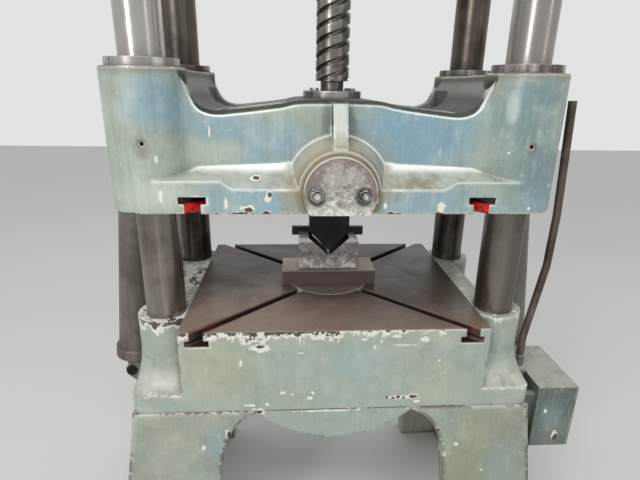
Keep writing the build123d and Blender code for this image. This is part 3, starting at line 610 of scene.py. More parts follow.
paintShades = {
    "primer": (216, 215, 205),
    "iron": (78, 66, 58),
    "grimeAndShade": (92, 91, 80),
    "clouds": (120, 130, 118),
    "runs": (108, 112, 96),
    "dust": (186, 186, 172),
    "dirt": (134, 130, 114),
    "specks": (92, 90, 78),
    "paleSpecks": (206, 210, 200),
    "wipedPale": (210, 216, 208),
    "wipedDark": (100, 112, 110),
}
paintWear = {
    "wiped": 0.45,  # of the share that runs have
    "grimeAndShadeReach": 0.03,  # metres out of a corner
    "edgeGrain": 66.0,
    "flakeFade": 0.012,
    "bump": 0.0011,
}


def readCasting(tree, spot):
    # what every mark on a painted casting is placed by
    xyz = split(tree, spot)
    normal = surfaceNormal(tree)
    cloud = noise(tree, spot, 9.0, 4.0, 0.62)
    fine = noise(tree, spot, 70.0, 4.0, 0.72)
    return SimpleNamespace(
        tree=tree,
        spot=spot,
        x=xyz["X"],
        y=xyz["Y"],
        z=xyz["Z"],
        aside=unsigned(tree, xyz["X"]),
        inward=unsigned(tree, xyz["Y"]),
        normal=normal,
        facing=normal["Z"],
        cloud=cloud,
        fine=fine,
        mottle=noise(tree, spot, 27.0, 4.0, 0.68),
        ragged=times(tree, minus(tree, cloud, 0.5), 1.6),
        crumbly=times(tree, minus(tree, fine, 0.5), 3.4),
    )


def baseCoat(s, p):
    # two shades and softer tones, then dust, dirt, specks and what wiping left
    tree, shades = s.tree, paintShades
    broad = noise(tree, s.spot, 2.6, 2.0, 0.55, 0.3)
    blue, green = linear(*p["blue"]), linear(*p["green"])
    color = blendColor(tree, ramp(tree, broad, 0.34, 0.62), blue, green)
    for x, z, wide, tall, shade, share in p["tones"]:
        tone = softPatch(s, (x, z), (wide, tall), (0.35, 1.35), share, s.ragged)
        color = layOn(tree, color, [(tone, shade)])
    hanging = place(tree, streaks, {"Fine": 46.0, "Drop": 2.6})["Mask"]
    wiped = noise(tree, mapped(tree, s.spot, Scale=(150, 150, 16)), 1.0, 3.0, 0.7)
    wipeShare = p["runs"] * paintWear["wiped"]
    top = ramp(tree, s.facing, 0.2, 0.75)
    layers = [
        (ramp(tree, s.cloud, 0.48, 0.72, 0.0, 0.4), p["pale"]),
        (ramp(tree, s.mottle, 0.50, 0.74, 0.0, 0.42), p["pale"]),
        (ramp(tree, s.mottle, 0.48, 0.30, 0.0, 0.30), shades["clouds"]),
        (times(tree, hanging, p["runs"]), shades["runs"]),
        (times(tree, top, 0.6), shades["dust"]),
        (times(tree, top, ramp(tree, s.mottle, 0.45, 0.68, 0.0, 0.7)), shades["dirt"]),
        (ramp(tree, s.fine, 0.62, 0.78, 0.0, 0.5), shades["specks"]),
        (ramp(tree, s.fine, 0.40, 0.28, 0.0, 0.35), shades["paleSpecks"]),
        (ramp(tree, wiped, 0.52, 0.68, 0.0, wipeShare), shades["wipedPale"]),
        (ramp(tree, wiped, 0.45, 0.31, 0.0, wipeShare), shades["wipedDark"]),
    ]
    return layOn(tree, color, layers)


def chipMask(s, marks, front):
    # small marks with crumbled edges, on the front alone
    tree = s.tree
    worn = plus(tree, nearest(tree, s.spot, marks), s.crumbly)
    onFront = ramp(tree, s.y, front, front - 0.004)
    return times(tree, ramp(tree, worn, 0.95, 1.1, 1.0, 0.0), onFront)


def flaking(s, rag, height, slope, lift):
    # how likely the paint is gone, falling off with the distance from an edge's height
    tree = s.tree
    away = unsigned(tree, minus(tree, s.z, height))
    return plus(tree, minus(tree, rag, times(tree, away, slope)), lift)


def lose(tree, lost, likely, primerFrom, ironFrom):
    # adds a flaking place to what is lost down to the primer and down to the iron
    primer, iron = lost
    fade = paintWear["flakeFade"]
    return (
        most(tree, primer, ramp(tree, likely, primerFrom, primerFrom + fade)),
        most(tree, iron, ramp(tree, likely, ironFrom, ironFrom + fade)),
    )


endPlate = {
    "center": (0, 1.082),
    "half": (0.075, 0.075),
    "studs": [(-0.048, 1.082, 0.008, 0.008), (0.048, 1.082, 0.008, 0.008)],
    "nutShadows": [(-0.049, 1.078, 0.017, 0.020), (0.047, 1.078, 0.017, 0.020)],
}
crosshead = {
    # a painted highlight along the ledge's crest
    "crest": {
        "rise": (1.111, 1.130),  # heights between which the ledge turns bright
        "end": (1.160, 1.150),
        "clear": (0.095, 0.125),  # starts this far from the middle
        "share": 0.92,
        "shade": (244, 246, 240),
    },
    "touchUp": {
        "left": (0.0765, 0.0795),
        "right": (0.255, 0.205),
        "foot": (1.120, 1.140),
        "head": (1.262, 1.235),
        "front": (-0.15, -0.18),
        "share": 0.32,
        "shade": (118, 152, 168),
    },
    "ledgeDirt": {
        "center": (0, 1.105),
        "half": (0.30, 0.030),
        "end": (1.150, 1.140),
        "low": (1.124, 1.108),
        "share": 0.62,
        "shade": (132, 122, 98),
    },
    "plateSurround": {
        "front": (-0.20, -0.21),
        "haloShade": (96, 95, 82),
        "joint": (40, 33, 27),
        "brown": (150, 138, 112),
        "boss": (1.42, 1.36),  # in radii of the plate
        "arch": ((1.42, 1.48), (1.80, 1.72)),
    },
    # painted shade and a painted highlight on the swept top, dust on its shoulders
    "sweptTop": {
        "from": (1.19, 1.21),
        "width": (0.375, 0.335),
        "oil": (32, 36, 30),
        "rimHighlight": (240, 243, 236),
        "pocketFloor": (1.095, 1.10),
        "pocketHalf": (0.335, 0.183),
        "pocketPaintedShade": (74, 78, 70),
        "pocketShare": 0.75,
        "shoulders": (1.312, 1.334),
        "dust": (122, 116, 100),
    },
    "holes": {
        "stains": [(-0.388, 1.170, 0.022, 0.032), (0.388, 1.174, 0.014, 0.018)],
        "stain": (120, 112, 90),
        "rings": [(-0.388, 1.178, 0.009, 0.009), (0.388, 1.178, 0.009, 0.009)],
        "ring": (58, 50, 38),
    },
    "rib": {"half": (0.034, 0.028), "from": (1.17, 1.19)},
    "slots": {
        "heading": 41.3,  # degrees
        "half": (0.01855, 0.01865),
        "floor": (1.0382, 1.0384),
        "roof": (1.0731, 1.0733),
        "lip": (1.0584, 1.0590),
        "start": (0.205, 0.207),
        "mouth": (0.26345, 0.2634),
        "red": (206, 26, 16),
        "soot": (58, 10, 8),
        "black": (20, 10, 8),
    },
    # an edge's height, how fast the flaking falls off, where primer and iron show
    "flakes": [(1.038, 26.0, 0.47, 0.51), (1.3195, 30.0, 0.52, 0.60)],
}


def markLedge(s, color, c):
    # a painted highlight along its crest, brown dirt below, a touched-up patch on the web
    tree, crest, patch, dirt = s.tree, c["crest"], c["touchUp"], c["ledgeDirt"]
    height = plus(tree, s.z, times(tree, s.ragged, 0.007))
    bright = times(
        tree,
        ramp(tree, height, *crest["rise"], 0.0, crest["share"]),
        ramp(tree, s.facing, 0.15, 0.4),
        ramp(tree, s.aside, *crest["clear"]),
        ramp(tree, s.z, *crest["end"]),
    )
    across = plus(tree, s.x, times(tree, s.ragged, 0.004))
    touched = times(
        tree,
        ramp(tree, across, *patch["left"]),
        ramp(tree, across, *patch["right"]),
        ramp(tree, s.z, *patch["foot"]),
        ramp(tree, s.z, *patch["head"]),
        ramp(tree, s.y, *patch["front"]),
        patch["share"],
    )
    slope = times(tree, ramp(tree, s.facing, 0.2, 0.5), ramp(tree, s.z, *dirt["end"]))
    dirty = times(
        tree,
        softPatch(s, dirt["center"], dirt["half"], (0.3, 1.0), dirt["share"], s.ragged),
        slope,
        ramp(tree, s.z, *dirt["low"], 0.15, 1.0),
        ramp(tree, s.mottle, 0.38, 0.60, 0.25, 1.0),
    )
    layers = [(bright, crest["shade"]), (touched, patch["shade"]), (dirty, dirt["shade"])]
    return layOn(tree, color, layers)


def markPlateSurround(s, color, c):
    # a dark joint, painted shade on the boss just outside it, and brown grease round the
    # front end plate
    tree = s.tree
    ragged = plus(tree, s.fromPlate, s.ragged)
    layers = [
        (times(tree, ramp(tree, s.fromPlate, 1.14, 1.27, 0.8, 0.0), s.front), c["haloShade"]),
        (times(tree, ramp(tree, s.fromPlate, 1.045, 1.11, 0.95, 0.0), s.front), c["joint"]),
        (times(tree, ramp(tree, ragged, 0.95, 1.7, 0.6, 0.0), s.front), c["brown"]),
    ]
    return layOn(tree, color, layers)


def markSweptTop(s, color, c):
    # painted shade on the swept top and in its pockets, dust on the shoulders, and a painted
    # highlight along the rim
    tree = s.tree
    rimHighlight = times(
        tree, ramp(tree, s.facing, 0.12, 0.28), ramp(tree, s.facing, 0.50, 0.34), s.high
    )
    rimHighlight = times(tree, rimHighlight, ramp(tree, s.aside, 0.02, 0.20, 0.25, 0.8))
    wide, deep = c["pocketHalf"]
    shadedPockets = times(
        tree,
        ramp(tree, s.z, *c["pocketFloor"]),
        inside(tree, s.inward, deep),
        inside(tree, s.aside, wide),
        c["pocketShare"],
    )
    height = plus(tree, s.z, times(tree, s.cloud, 0.03))
    layers = [
        (times(tree, s.oily, ramp(tree, s.cloud, 0.3, 0.7, 1.0, 0.85)), c["oil"]),
        (rimHighlight, c["rimHighlight"]),
        (shadedPockets, c["pocketPaintedShade"]),
        (ramp(tree, height, *c["shoulders"], 0.0, 0.8), c["dust"]),
    ]
    return layOn(tree, color, layers)


def markHoles(s, color, c):
    tree = s.tree
    stain = plus(tree, nearest(tree, s.spot, c["stains"]), times(tree, s.ragged, 0.8))
    ring = nearest(tree, s.spot, c["rings"])
    layers = [
        (ramp(tree, stain, 0.2, 1.1, 0.6, 0.0), c["stain"]),
        (ramp(tree, ring, 0.7, 1.1, 0.9, 0.0), c["ring"]),
    ]
    return layOn(tree, color, layers)


def readCrosshead(s, c):
    # distances and masks that several of its marks use
    tree, swept = s.tree, c["sweptTop"]
    s.fromPlate = farness(tree, s.spot, endPlate["center"], endPlate["half"])
    s.front = ramp(tree, s.y, *c["plateSurround"]["front"])
    s.high = ramp(tree, s.z, *swept["from"])
    # painted shade high on the crosshead: on faces turned up, and on faces turned sideways
    # between the bosses
    behind = ramp(tree, unsigned(tree, s.normal["Y"]), 0.5, 0.35)
    behind = times(tree, behind, ramp(tree, s.aside, *swept["width"]))
    s.oily = times(tree, most(tree, ramp(tree, s.facing, 0.30, 0.60), behind), s.high)


def rubCrosshead(s, rubbedAndHighlight, edge, c):
    # painted highlights: a thin line round the end plate, a broad one along the arch, little
    # on the rib
    tree, near = s.tree, c["plateSurround"]
    thin = times(tree, ramp(tree, s.fromPlate, *near["boss"]), s.front)
    line = ramp(tree, edge, 0.60, 0.98, 0.0, 0.85)
    rubbedAndHighlight = plus(tree, times(tree, rubbedAndHighlight, rest(tree, thin)), times(tree, line, thin))
    onRib = ramp(tree, s.aside, *c["rib"]["half"])
    onRib = times(tree, onRib, ramp(tree, s.z, *c["rib"]["from"]))
    rubbedAndHighlight = times(tree, rubbedAndHighlight, rest(tree, times(tree, onRib, 0.6)))
    start, end = near["arch"]
    arch = times(
        tree,
        ramp(tree, s.fromPlate, *start),
        ramp(tree, s.fromPlate, *end),
        ramp(tree, edge, 0.04, 0.30, 0.0, 0.95),
    )
    return most(tree, rubbedAndHighlight, arch)


def paintSlots(s, color, c):
    # the diagonal slots: red lips, with a black painted shadow above them
    tree = s.tree
    inSlot = times(
        tree,
        ramp(tree, fromDiagonal(s, c["heading"]), *c["half"], 1.0, 0.0),
        ramp(tree, s.z, *c["floor"]),
        ramp(tree, s.z, *c["roof"], 1.0, 0.0),
        ramp(tree, plus(tree, s.aside, s.inward), *c["start"]),
        ramp(tree, s.inward, *c["mouth"]),
    )
    layers = [
        (inSlot, c["red"]),
        (times(tree, inSlot, ramp(tree, s.fine, 0.44, 0.62, 0.0, 0.85)), c["soot"]),
        (times(tree, inSlot, ramp(tree, s.z, *c["lip"])), c["black"]),
    ]
    return layOn(tree, color, layers)


bed = {
    "shoulder": 0.687,  # height of the narrow shoulder under the sockets' flares
    "seam": 0.575,
    "seamShade": (72, 60, 46),
    "flange": 0.621,
    "flangeFrom": (0.345, 0.35),
    "top": 0.78,
    "table": {
        "half": (0.3467, 0.2917),
        "from": (0.7443, 0.7446),
        "face": (0.7775, 0.7790),
        "heading": 43.5,  # degrees
        "slotEdge": (0.021, 0.011),
        "rust": (112, 66, 54),
        "slotFloor": (34, 22, 17),
        "slotMouth": (104, 50, 40),
        "edge": (160, 148, 136),
    },
}
legSeam = {"height": (0.5730, 0.5745), "shade": (66, 54, 42)}


def flakeBed(s, lost, rag, flat, b):
    # along the table's edge, more at the left, along the flanges' tops, and at the seam
    tree = s.tree
    leftMore = ramp(tree, s.x, 0.08, -0.04, 0.02, 0.15)
    onTop = flaking(s, rag, b["top"], 7.5, plus(tree, leftMore, flat))
    outer = ramp(tree, s.aside, *b["flangeFrom"])
    onFlange = times(tree, flaking(s, rag, b["flange"], 22.0, flat), outer)
    atSeam = times(tree, flaking(s, rag, b["seam"], 22.0, 0.0), rest(tree, outer))
    lost = lose(tree, lost, onTop, 0.50, 0.59)
    lost = lose(tree, lost, onFlange, 0.47, 0.60)
    return lose(tree, lost, atSeam, 0.565, 0.60)


def bareTable(s, color, rough, edge, t):
    # the table's face and its slots are bare ground iron, with rust in the slots' mouths
    tree = s.tree
    ground = place(tree, groundIron, {})
    wide, deep = t["half"]
    bare = times(
        tree,
        inside(tree, s.aside, wide),
        inside(tree, s.inward, deep),
        ramp(tree, s.z, *t["from"]),
    )
    rusty = times(
        tree,
        ramp(tree, fromDiagonal(s, t["heading"]), *t["slotEdge"]),
        ramp(tree, s.mottle, 0.35, 0.6, 0.2, 0.75),
        ramp(tree, s.y, -0.14, -0.24),
    )
    mouth = times(tree, ramp(tree, s.mottle, 0.40, 0.62), ramp(tree, s.y, -0.20, -0.27))
    inSlots = blendColor(tree, mouth, linear(*t["slotFloor"]), linear(*t["slotMouth"]))
    face = layOn(tree, ground["Color"], [(rusty, t["rust"])])
    face = blendColor(tree, ramp(tree, s.z, *t["face"], 0.9, 0.0), face, inSlots)
    # edges worn pale, with a painted highlight along them
    face = layOn(tree, face, [(ramp(tree, edge, 0.1, 0.5, 0.0, 0.4), t["edge"])])
    color = blendColor(tree, bare, color, face)
    rough = times(tree, rough, rest(tree, bare))
    rough = plus(tree, rough, times(tree, ground["Rough"], bare))
    return color, rough, times(tree, bare, 0.35)


def makePaint(name, p):
    mat, tree, skin, spot = startMaterial(name)
    s = readCasting(tree, spot)
    onCrosshead, onBed = name == "crossheadPaint", name == "bedPaint"
    color = baseCoat(s, p)
    # grime and painted shade in corners and creases, from ambient occlusion
    grimeAndShade = hollowShade(tree, paintWear["grimeAndShadeReach"], 0.30, 0.84, 1.0, 0.0)
    if onBed:
        clean = unsigned(tree, minus(tree, s.z, bed["shoulder"]))
        clean = ramp(tree, clean, 0.006, 0.012)
        grimeAndShade = times(tree, grimeAndShade, clean)
    grimeAndShadeShare = times(tree, grimeAndShade, ramp(tree, s.cloud, 0.35, 0.6, 0.6, 1.0))
    color = layOn(tree, color, [(grimeAndShadeShare, paintShades["grimeAndShade"])])

    # marks that only one casting has
    if onCrosshead:
        readCrosshead(s, crosshead)
        color = markLedge(s, color, crosshead)
        color = markPlateSurround(s, color, crosshead["plateSurround"])
        color = markSweptTop(s, color, crosshead["sweptTop"])
        color = markHoles(s, color, crosshead["holes"])
    if onBed:
        seam = unsigned(tree, minus(tree, s.z, bed["seam"]))
        seam = ramp(tree, seam, 0.0006, 0.0022, 0.85, 0.0)
        color = layOn(tree, color, [(seam, bed["seamShade"])])
    if name == "legPaint":
        seam = ramp(tree, s.z, *legSeam["height"], 0.0, 0.9)
        color = layOn(tree, color, [(seam, legSeam["shade"])])

    # edges rubbed pale, with a painted highlight along them
    edge = {"Width": p["edgeWidth"], "Grain": paintWear["edgeGrain"]}
    edge = place(tree, edgeWear, edge)
    rubbedAndHighlight = times(tree, ramp(tree, edge["Edge"], 0.22, 0.95, 0.0, 0.85), rest(tree, grimeAndShade))
    level = times(tree, edge["Level"], p["wornShare"])
    if onBed:
        rubbedAndHighlight = times(tree, rubbedAndHighlight, clean)
        level = times(tree, level, clean)
    if onCrosshead:
        rubbedAndHighlight = rubCrosshead(s, rubbedAndHighlight, edge["Edge"], crosshead)
    color = layOn(tree, color, [(rubbedAndHighlight, p["crest"])])

    # paint gone down to primer, and through it to the iron
    scatter = plus(tree, s.fine, times(tree, s.cloud, 0.55))
    flakes = ramp(tree, scatter, 1.075, 1.085)
    chipped = chipMask(s, p["chips"], p["front"])
    bare = chipMask(s, p["cores"], p["front"])
    lost = (
        most(tree, chipped, flakes, ramp(tree, level, 0.88, 0.93)),
        most(tree, bare, ramp(tree, level, 1.02, 1.07)),
    )
    rag = noise(tree, spot, 30.0, 5.0, 0.72)
    flat = ramp(tree, unsigned(tree, s.facing), 0.6, 0.9, 0.0, -0.11)
    if onCrosshead:
        for height, slope, primerFrom, ironFrom in crosshead["flakes"]:
            likely = flaking(s, rag, height, slope, flat)
            lost = lose(tree, lost, likely, primerFrom, ironFrom)
    if onBed:
        lost = flakeBed(s, lost, rag, flat, bed)
    primer, iron = lost
    color = layOn(tree, color, [(primer, paintShades["primer"]), (iron, paintShades["iron"])])
    if onCrosshead:
        color = paintSlots(s, color, crosshead["slots"])

    rough = ramp(tree, s.cloud, 0.3, 0.7, 0.26, 0.40)
    rough = calc(tree, "ADD", rough, times(tree, primer, 0.3), True)
    # the painted shade on the swept top is made rougher too
    if onCrosshead:
        rough = calc(tree, "ADD", rough, times(tree, s.oily, 0.3), True)
    metal = 0.0
    if onBed:
        color, rough, metal = bareTable(s, color, rough, edge["Edge"], bed["table"])
    grain = noise(tree, spot, 120.0, 2.0, 0.55)
    wavy = noise(tree, spot, 16.0, 2.0, 0.5)
    height = plus(tree, times(tree, grain, 0.2), times(tree, wavy, 1.5))
    wire(tree, skin, color, rough, metal, height, paintWear["bump"], edge["Normal"])
    return mat


# Steel and bronze
# cloud: size and detail of the patches; and how bright the edges are, rubbed and with a
# painted highlight
steelDefaults = {"cloud": (6.5, 3.0), "pits": 300.0, "speckle": 0.3, "rubbedAndHighlight": 0.6}
steels = {
    "columnSteel": {
        "base": (132, 125, 119),
        "dark": (96, 87, 80),
        "light": (172, 166, 160),
        "scale": (34, 34, 1.0),
        "rough": (0.20, 0.36),
        "metal": 0.92,
    },
    "collarSteel": {
        "base": (158, 154, 150),
        "dark": (84, 76, 70),
        "light": (238, 236, 232),
        "scale": (30, 30, 6),
        "rough": (0.28, 0.46),
        "speckle": 0.4,
        "metal": 0.9,
        "rubbedAndHighlight": 0.9,
    },
    "discSteel": {
        "base": (176, 171, 162),
        "dark": (130, 120, 108),
        "light": (236, 235, 232),
        "scale": (120, 120, 120),
        "rough": (0.30, 0.46),
        "speckle": 0.95,
        "metal": 0.5,
        "cloud": (40.0, 5.0),
        "pits": 190.0,
    },
    "blockSteel": {
        "base": (160, 152, 152),
        "dark": (98, 88, 84),
        "light": (226, 222, 218),
        "scale": (70, 70, 70),
        "rough": (0.36, 0.52),
        "speckle": 0.95,
        "metal": 0.3,
        "cloud": (40.0, 5.0),
        "pits": 190.0,
    },
    "gaugeSteel": {
        "base": (40, 38, 36),
        "dark": (20, 20, 20),
        "light": (70, 66, 60),
        "scale": (18, 18, 18),
        "rough": (0.35, 0.5),
        "metal": 0.3,
    },
    # a darker copy of the column steel: painted shade on the rear columns
    "shadedRearSteel": {
        "base": (86, 79, 73),
        "dark": (50, 44, 40),
        "light": (124, 116, 108),
        "scale": (34, 34, 1.0),
        "rough": (0.26, 0.42),
        "metal": 0.9,
    },
    "nutSteel": {
        "base": (184, 182, 178),
        "dark": (74, 68, 62),
        "light": (246, 245, 242),
        "scale": (60, 60, 60),
        "rough": (0.20, 0.34),
        "speckle": 0.5,
        "metal": 0.85,
    },
    "screwSteel": {
        "base": (132, 126, 120),
        "dark": (62, 56, 50),
        "light": (190, 186, 180),
        "scale": (24, 24, 24),
        "rough": (0.20, 0.38),
        "speckle": 0.4,
        "metal": 0.9,
    },
    "blackSteel": {
        "base": (30, 29, 28),
        "dark": (16, 16, 16),
        "light": (58, 54, 50),
        "scale": (18, 18, 18),
        "rough": (0.35, 0.55),
        "metal": 0.6,
    },
    "rodSteel": {
        "base": (96, 86, 76),
        "dark": (60, 50, 42),
        "light": (136, 126, 114),
        "scale": (30, 30, 3),
        "rough": (0.30, 0.48),
        "speckle": 0.5,
        "metal": 0.6,
    },
    "bronzeMetal": {
        "base": (176, 142, 86),
        "dark": (120, 92, 52),
        "light": (214, 184, 128),
        "scale": (16, 16, 16),
        "rough": (0.3, 0.5),
        "metal": 0.8,
    },
}
steelDirtAndShade = (34, 29, 24)
steelWear = {"dirtAndShadeReach": 0.010, "edgeWidth": 0.0014, "edgeGrain": 90.0, "bump": 0.00012}
nutShades = {"flank": (60, 54, 50), "gap": (58, 52, 48), "studEnd": (246, 246, 244)}
columnShades = {"paintedRightShade": (84, 77, 71), "clean": (206, 202, 200)}
vBlock = {
    "vee": 0.0555,  # half its width at the top
    "foot": (0.862, 0.830),
    "footLight": (250, 248, 246),
    "grains": (0.865, 0.850),
    "grainShade": (84, 78, 74),
    "horns": (0.890, 0.896),
    "hornLight": (240, 234, 226),
    "veeShadow": (9, 8, 7),
}
punchPatch = {"center": (0.024, 0.985), "half": (0.007, 0.026), "shade": (66, 52, 36)}
gaugeTopLight = (120, 114, 106)
plateMarks = {
    "edge": (118, 100, 90),
    "low": (1.092, 1.052),
    "lowShade": (238, 237, 236),
    "oil": (52, 46, 42),
    "brownAt": ((-0.05, 1.11), (0.02, 0.02)),
    "brown": (122, 100, 90),
    "shineAt": ((0, 1.072), (0.04, 0.03)),
    "shine": (240, 239, 237),
    "rimHighlight": (0.972, 0.982),  # in radii of the plate
    "rimFrom": (1.07, 1.10),
    "rimShade": (238, 232, 226),
}


def nutLayers(s):
    # bright stud ends, painted shade on the flanks, a pale washer beyond a dark gap
    tree, shades = s.tree, nutShades
    away = nearest(tree, s.spot, endPlate["studs"])
    flank = ramp(tree, unsigned(tree, surfaceNormal(tree)["Y"]), 0.5, 0.3)
    gap = times(tree, ramp(tree, away, 0.95, 1.05), ramp(tree, away, 1.30, 1.18))
    return [
        (times(tree, flank, 0.85), shades["flank"]),
        (times(tree, gap, 0.8), shades["gap"]),
        (ramp(tree, away, 0.7, 0.4, 0.0, 0.8), shades["studEnd"]),
    ]


def columnLayers(s):
    # painted shade on the right one; both brighter above the crosshead, polished by its
    # travel and with a painted reflection, more on the left
    tree = s.tree
    height = plus(tree, s.z, times(tree, s.cloud, 0.1))
    clean = ramp(tree, height, 1.33, 1.42)
    return [
        (ramp(tree, s.x, -0.1, 0.1, 0.0, 0.45), columnShades["paintedRightShade"]),
        (times(tree, clean, ramp(tree, s.x, -0.1, 0.1, 0.5, 0.3)), columnShades["clean"]),
    ]


def blockLayers(s):
    # painted light at the foot, which is grainy too, and on the two horns where a shadow
    # falls
    tree, b = s.tree, vBlock
    foot = ramp(tree, s.z, *b["foot"])
    grains = ramp(tree, s.drawn, 0.52, 0.44)
    return [
        (times(tree, foot, ramp(tree, s.cloud, 0.35, 0.6, 0.3, 0.95)), b["footLight"]),
        (times(tree, grains, ramp(tree, s.z, *b["grains"], 0.0, 0.5)), b["grainShade"]),
        (ramp(tree, s.z, *b["horns"], 0.0, 0.85), b["hornLight"]),
    ]


def punchLayers(s):
    m = punchPatch
    return [(softPatch(s, m["center"], m["half"], (0.7, 1.7), 0.7, s.cloud), m["shade"])]


def gaugeLayers(s):
    # painted light on the bar's up-facing top
    return [(ramp(s.tree, surfaceNormal(s.tree)["Z"], 0.6, 0.8), gaugeTopLight)]


def endPlateLayers(s):
    # dirtier towards its round edge, bright and speckled below, a painted shadow round and
    # below the nuts, and a painted highlight on the upper rim
    tree, m = s.tree, plateMarks
    fromMiddle = farness(tree, s.spot, endPlate["center"], endPlate["half"])
    far = plus(tree, fromMiddle, times(tree, s.cloud, 0.25))
    height = plus(tree, s.z, times(tree, s.cloud, 0.03))
    low = times(
        tree, ramp(tree, height, *m["low"]), ramp(tree, s.drawn, 0.38, 0.58, 0.3, 0.95)
    )
    nuts = nearest(tree, s.spot, endPlate["nutShadows"])
    shine = softPatch(s, *m["shineAt"], (0.7, 1.6), 1.0, s.cloud)
    shine = times(tree, shine, ramp(tree, s.drawn, 0.50, 0.60), 0.7)
    rimHighlight = ramp(tree, fromMiddle, *m["rimHighlight"], 0.0, 0.8)
    return [
        (ramp(tree, far, 0.85, 1.16, 0.0, 0.8), m["edge"]),
        (low, m["lowShade"]),
        (ramp(tree, nuts, 0.85, 1.15, 0.8, 0.0), m["oil"]),
        (softPatch(s, *m["brownAt"], (0.6, 1.7), 0.6, s.cloud), m["brown"]),
        (shine, m["shine"]),
        (times(tree, rimHighlight, ramp(tree, s.z, *m["rimFrom"])), m["rimShade"]),
    ]


ownLayers = {
    "nutSteel": nutLayers,
    "columnSteel": columnLayers,
    "blockSteel": blockLayers,
    "blackSteel": punchLayers,
    "gaugeSteel": gaugeLayers,
    "discSteel": endPlateLayers,
}


def veeFaces(s):
    tree = s.tree
    normal = surfaceNormal(tree)
    slanted = ramp(tree, unsigned(tree, normal["X"]), 0.4, 0.5)
    slanted = times(tree, slanted, ramp(tree, normal["Z"], 0.5, 0.6))
    return times(tree, slanted, inside(tree, unsigned(tree, s.x), vBlock["vee"]))


def makeSteel(name, given):
    p = {**steelDefaults, **given}
    mat, tree, skin, spot = startMaterial(name)
    xyz = split(tree, spot)
    s = SimpleNamespace(
        tree=tree,
        spot=spot,
        x=xyz["X"],
        z=xyz["Z"],
        drawn=noise(tree, mapped(tree, spot, Scale=p["scale"]), 1.0, 4.0, 0.62),
        cloud=noise(tree, spot, *p["cloud"], 0.72, 0.2),
    )
    pits = noise(tree, spot, p["pits"], 2.0, 0.75)
    pitted = ramp(tree, pits, 0.56, 0.70, 0.0, p["speckle"])
    # dirt and painted shade in corners, from ambient occlusion; the same mask makes the steel
    # rougher and less metallic
    dirt = hollowShade(tree, steelWear["dirtAndShadeReach"], 0.3, 0.8, 0.9, 0.0)
    base, dark = linear(*p["base"]), linear(*p["dark"])
    color = blendColor(tree, ramp(tree, s.cloud, 0.42, 0.68), base, dark)
    layers = [
        (ramp(tree, s.drawn, 0.46, 0.74, 0.0, 0.6), p["light"]),
        (times(tree, pitted, ramp(tree, s.cloud, 0.36, 0.60)), p["dark"]),
        (dirt, steelDirtAndShade),
    ]
    color = layOn(tree, color, layers)
    if name in ownLayers:
        color = layOn(tree, color, ownLayers[name](s))
    edge = {"Width": steelWear["edgeWidth"], "Grain": steelWear["edgeGrain"]}
    edge = place(tree, edgeWear, edge)
    rubbedAndHighlight = ramp(tree, edge["Edge"], 0.1, 0.6, 0.0, p["rubbedAndHighlight"])
    color = layOn(tree, color, [(rubbedAndHighlight, p["light"])])
    rough = ramp(tree, s.cloud, 0.3, 0.7, *p["rough"])
    shine = p["metal"]
    if name == "blockSteel":
        # a black painted shadow on the vee's faces, which are made dull too
        vee = veeFaces(s)
        color = layOn(tree, color, [(vee, vBlock["veeShadow"])])
        rough = calc(tree, "ADD", rough, times(tree, vee, 0.4), True)
        shine = minus(tree, shine, times(tree, vee, shine))
    rough = calc(tree, "ADD", rough, times(tree, dirt, 0.3), True)
    metal = times(tree, rest(tree, dirt), shine)
    wire(tree, skin, color, rough, metal, pits, steelWear["bump"], edge["Normal"])
    return mat


# Ground plates, tubes and grips
plates = {
    "tableTop": {
        "ground": {"Base": (150, 142, 128), "Rust": (124, 108, 94), "Worn": (186, 178, 166)},
        # share of the painted shade towards the rear and the right
        "oil": 0.4,
        "rimHighlight": (0.1035, 0.1050),  # the insert's rim shines from this radius on
        "rimShade": (196, 190, 178),
    },
    "diePlateSteel": {
        "ground": {"Base": (172, 156, 140), "Rust": (138, 120, 104), "Worn": (206, 194, 178)},
        "oil": 0.0,
        # painted shade on the sides, below the top face
        "sides": (0.8185, 0.8195),  # darker below its top face
        "sidePaintedShade": (88, 74, 75),
    },
}
plateDirtAndShade = (44, 30, 22)
plateEdge = (190, 182, 170)


def makeTableMetal(name, p):
    mat, tree, skin, spot = startMaterial(name)
    shades = {key: linear(*shade) for key, shade in p["ground"].items()}
    ground = place(tree, groundIron, {**shades, "RearShade": p["oil"]})
    # dirt and painted shade in corners, from ambient occlusion
    layers = [(hollowShade(tree, 0.02, 0.25, 0.8, 0.85, 0.0), plateDirtAndShade)]
    if "sides" in p:
        height = split(tree, spot)["Z"]
        layers.append((ramp(tree, height, *p["sides"], 0.9, 0.0), p["sidePaintedShade"]))
    edge = place(tree, edgeWear, {"Width": 0.0022, "Grain": 60.0})
    layers.append((ramp(tree, edge["Edge"], 0.1, 0.5, 0.0, 0.6), plateEdge))
    if "rimHighlight" in p:
        flatSpot = mapped(tree, spot, Scale=(1, 1, 0))
        far = vectorCalc(tree, "LENGTH", {0: flatSpot}, "Value")
        layers.append((ramp(tree, far, *p["rimHighlight"], 0.0, 0.8), p["rimShade"]))
    color = layOn(tree, ground["Color"], layers)
    wire(tree, skin, color, ground["Rough"], 0.3, ground["Pits"], 0.0002, edge["Normal"])
    return mat


grip = {"base": (22, 22, 22), "light": (44, 42, 40)}


def makeGrip(name, p):
    mat, tree, skin, spot = startMaterial(name)
    cloud = noise(tree, spot, 40.0, 3.0, 0.6)
    color = blendColor(tree, cloud, linear(*p["base"]), linear(*p["light"]))
    wire(tree, skin, color, ramp(tree, cloud, 0.3, 0.7, 0.3, 0.45), 0.0, cloud, 0.0003)
    return mat


tube = {
    "base": (122, 116, 110),
    "dark": (92, 84, 78),
    "runs": (66, 56, 48),
    "light": (176, 170, 160),
}


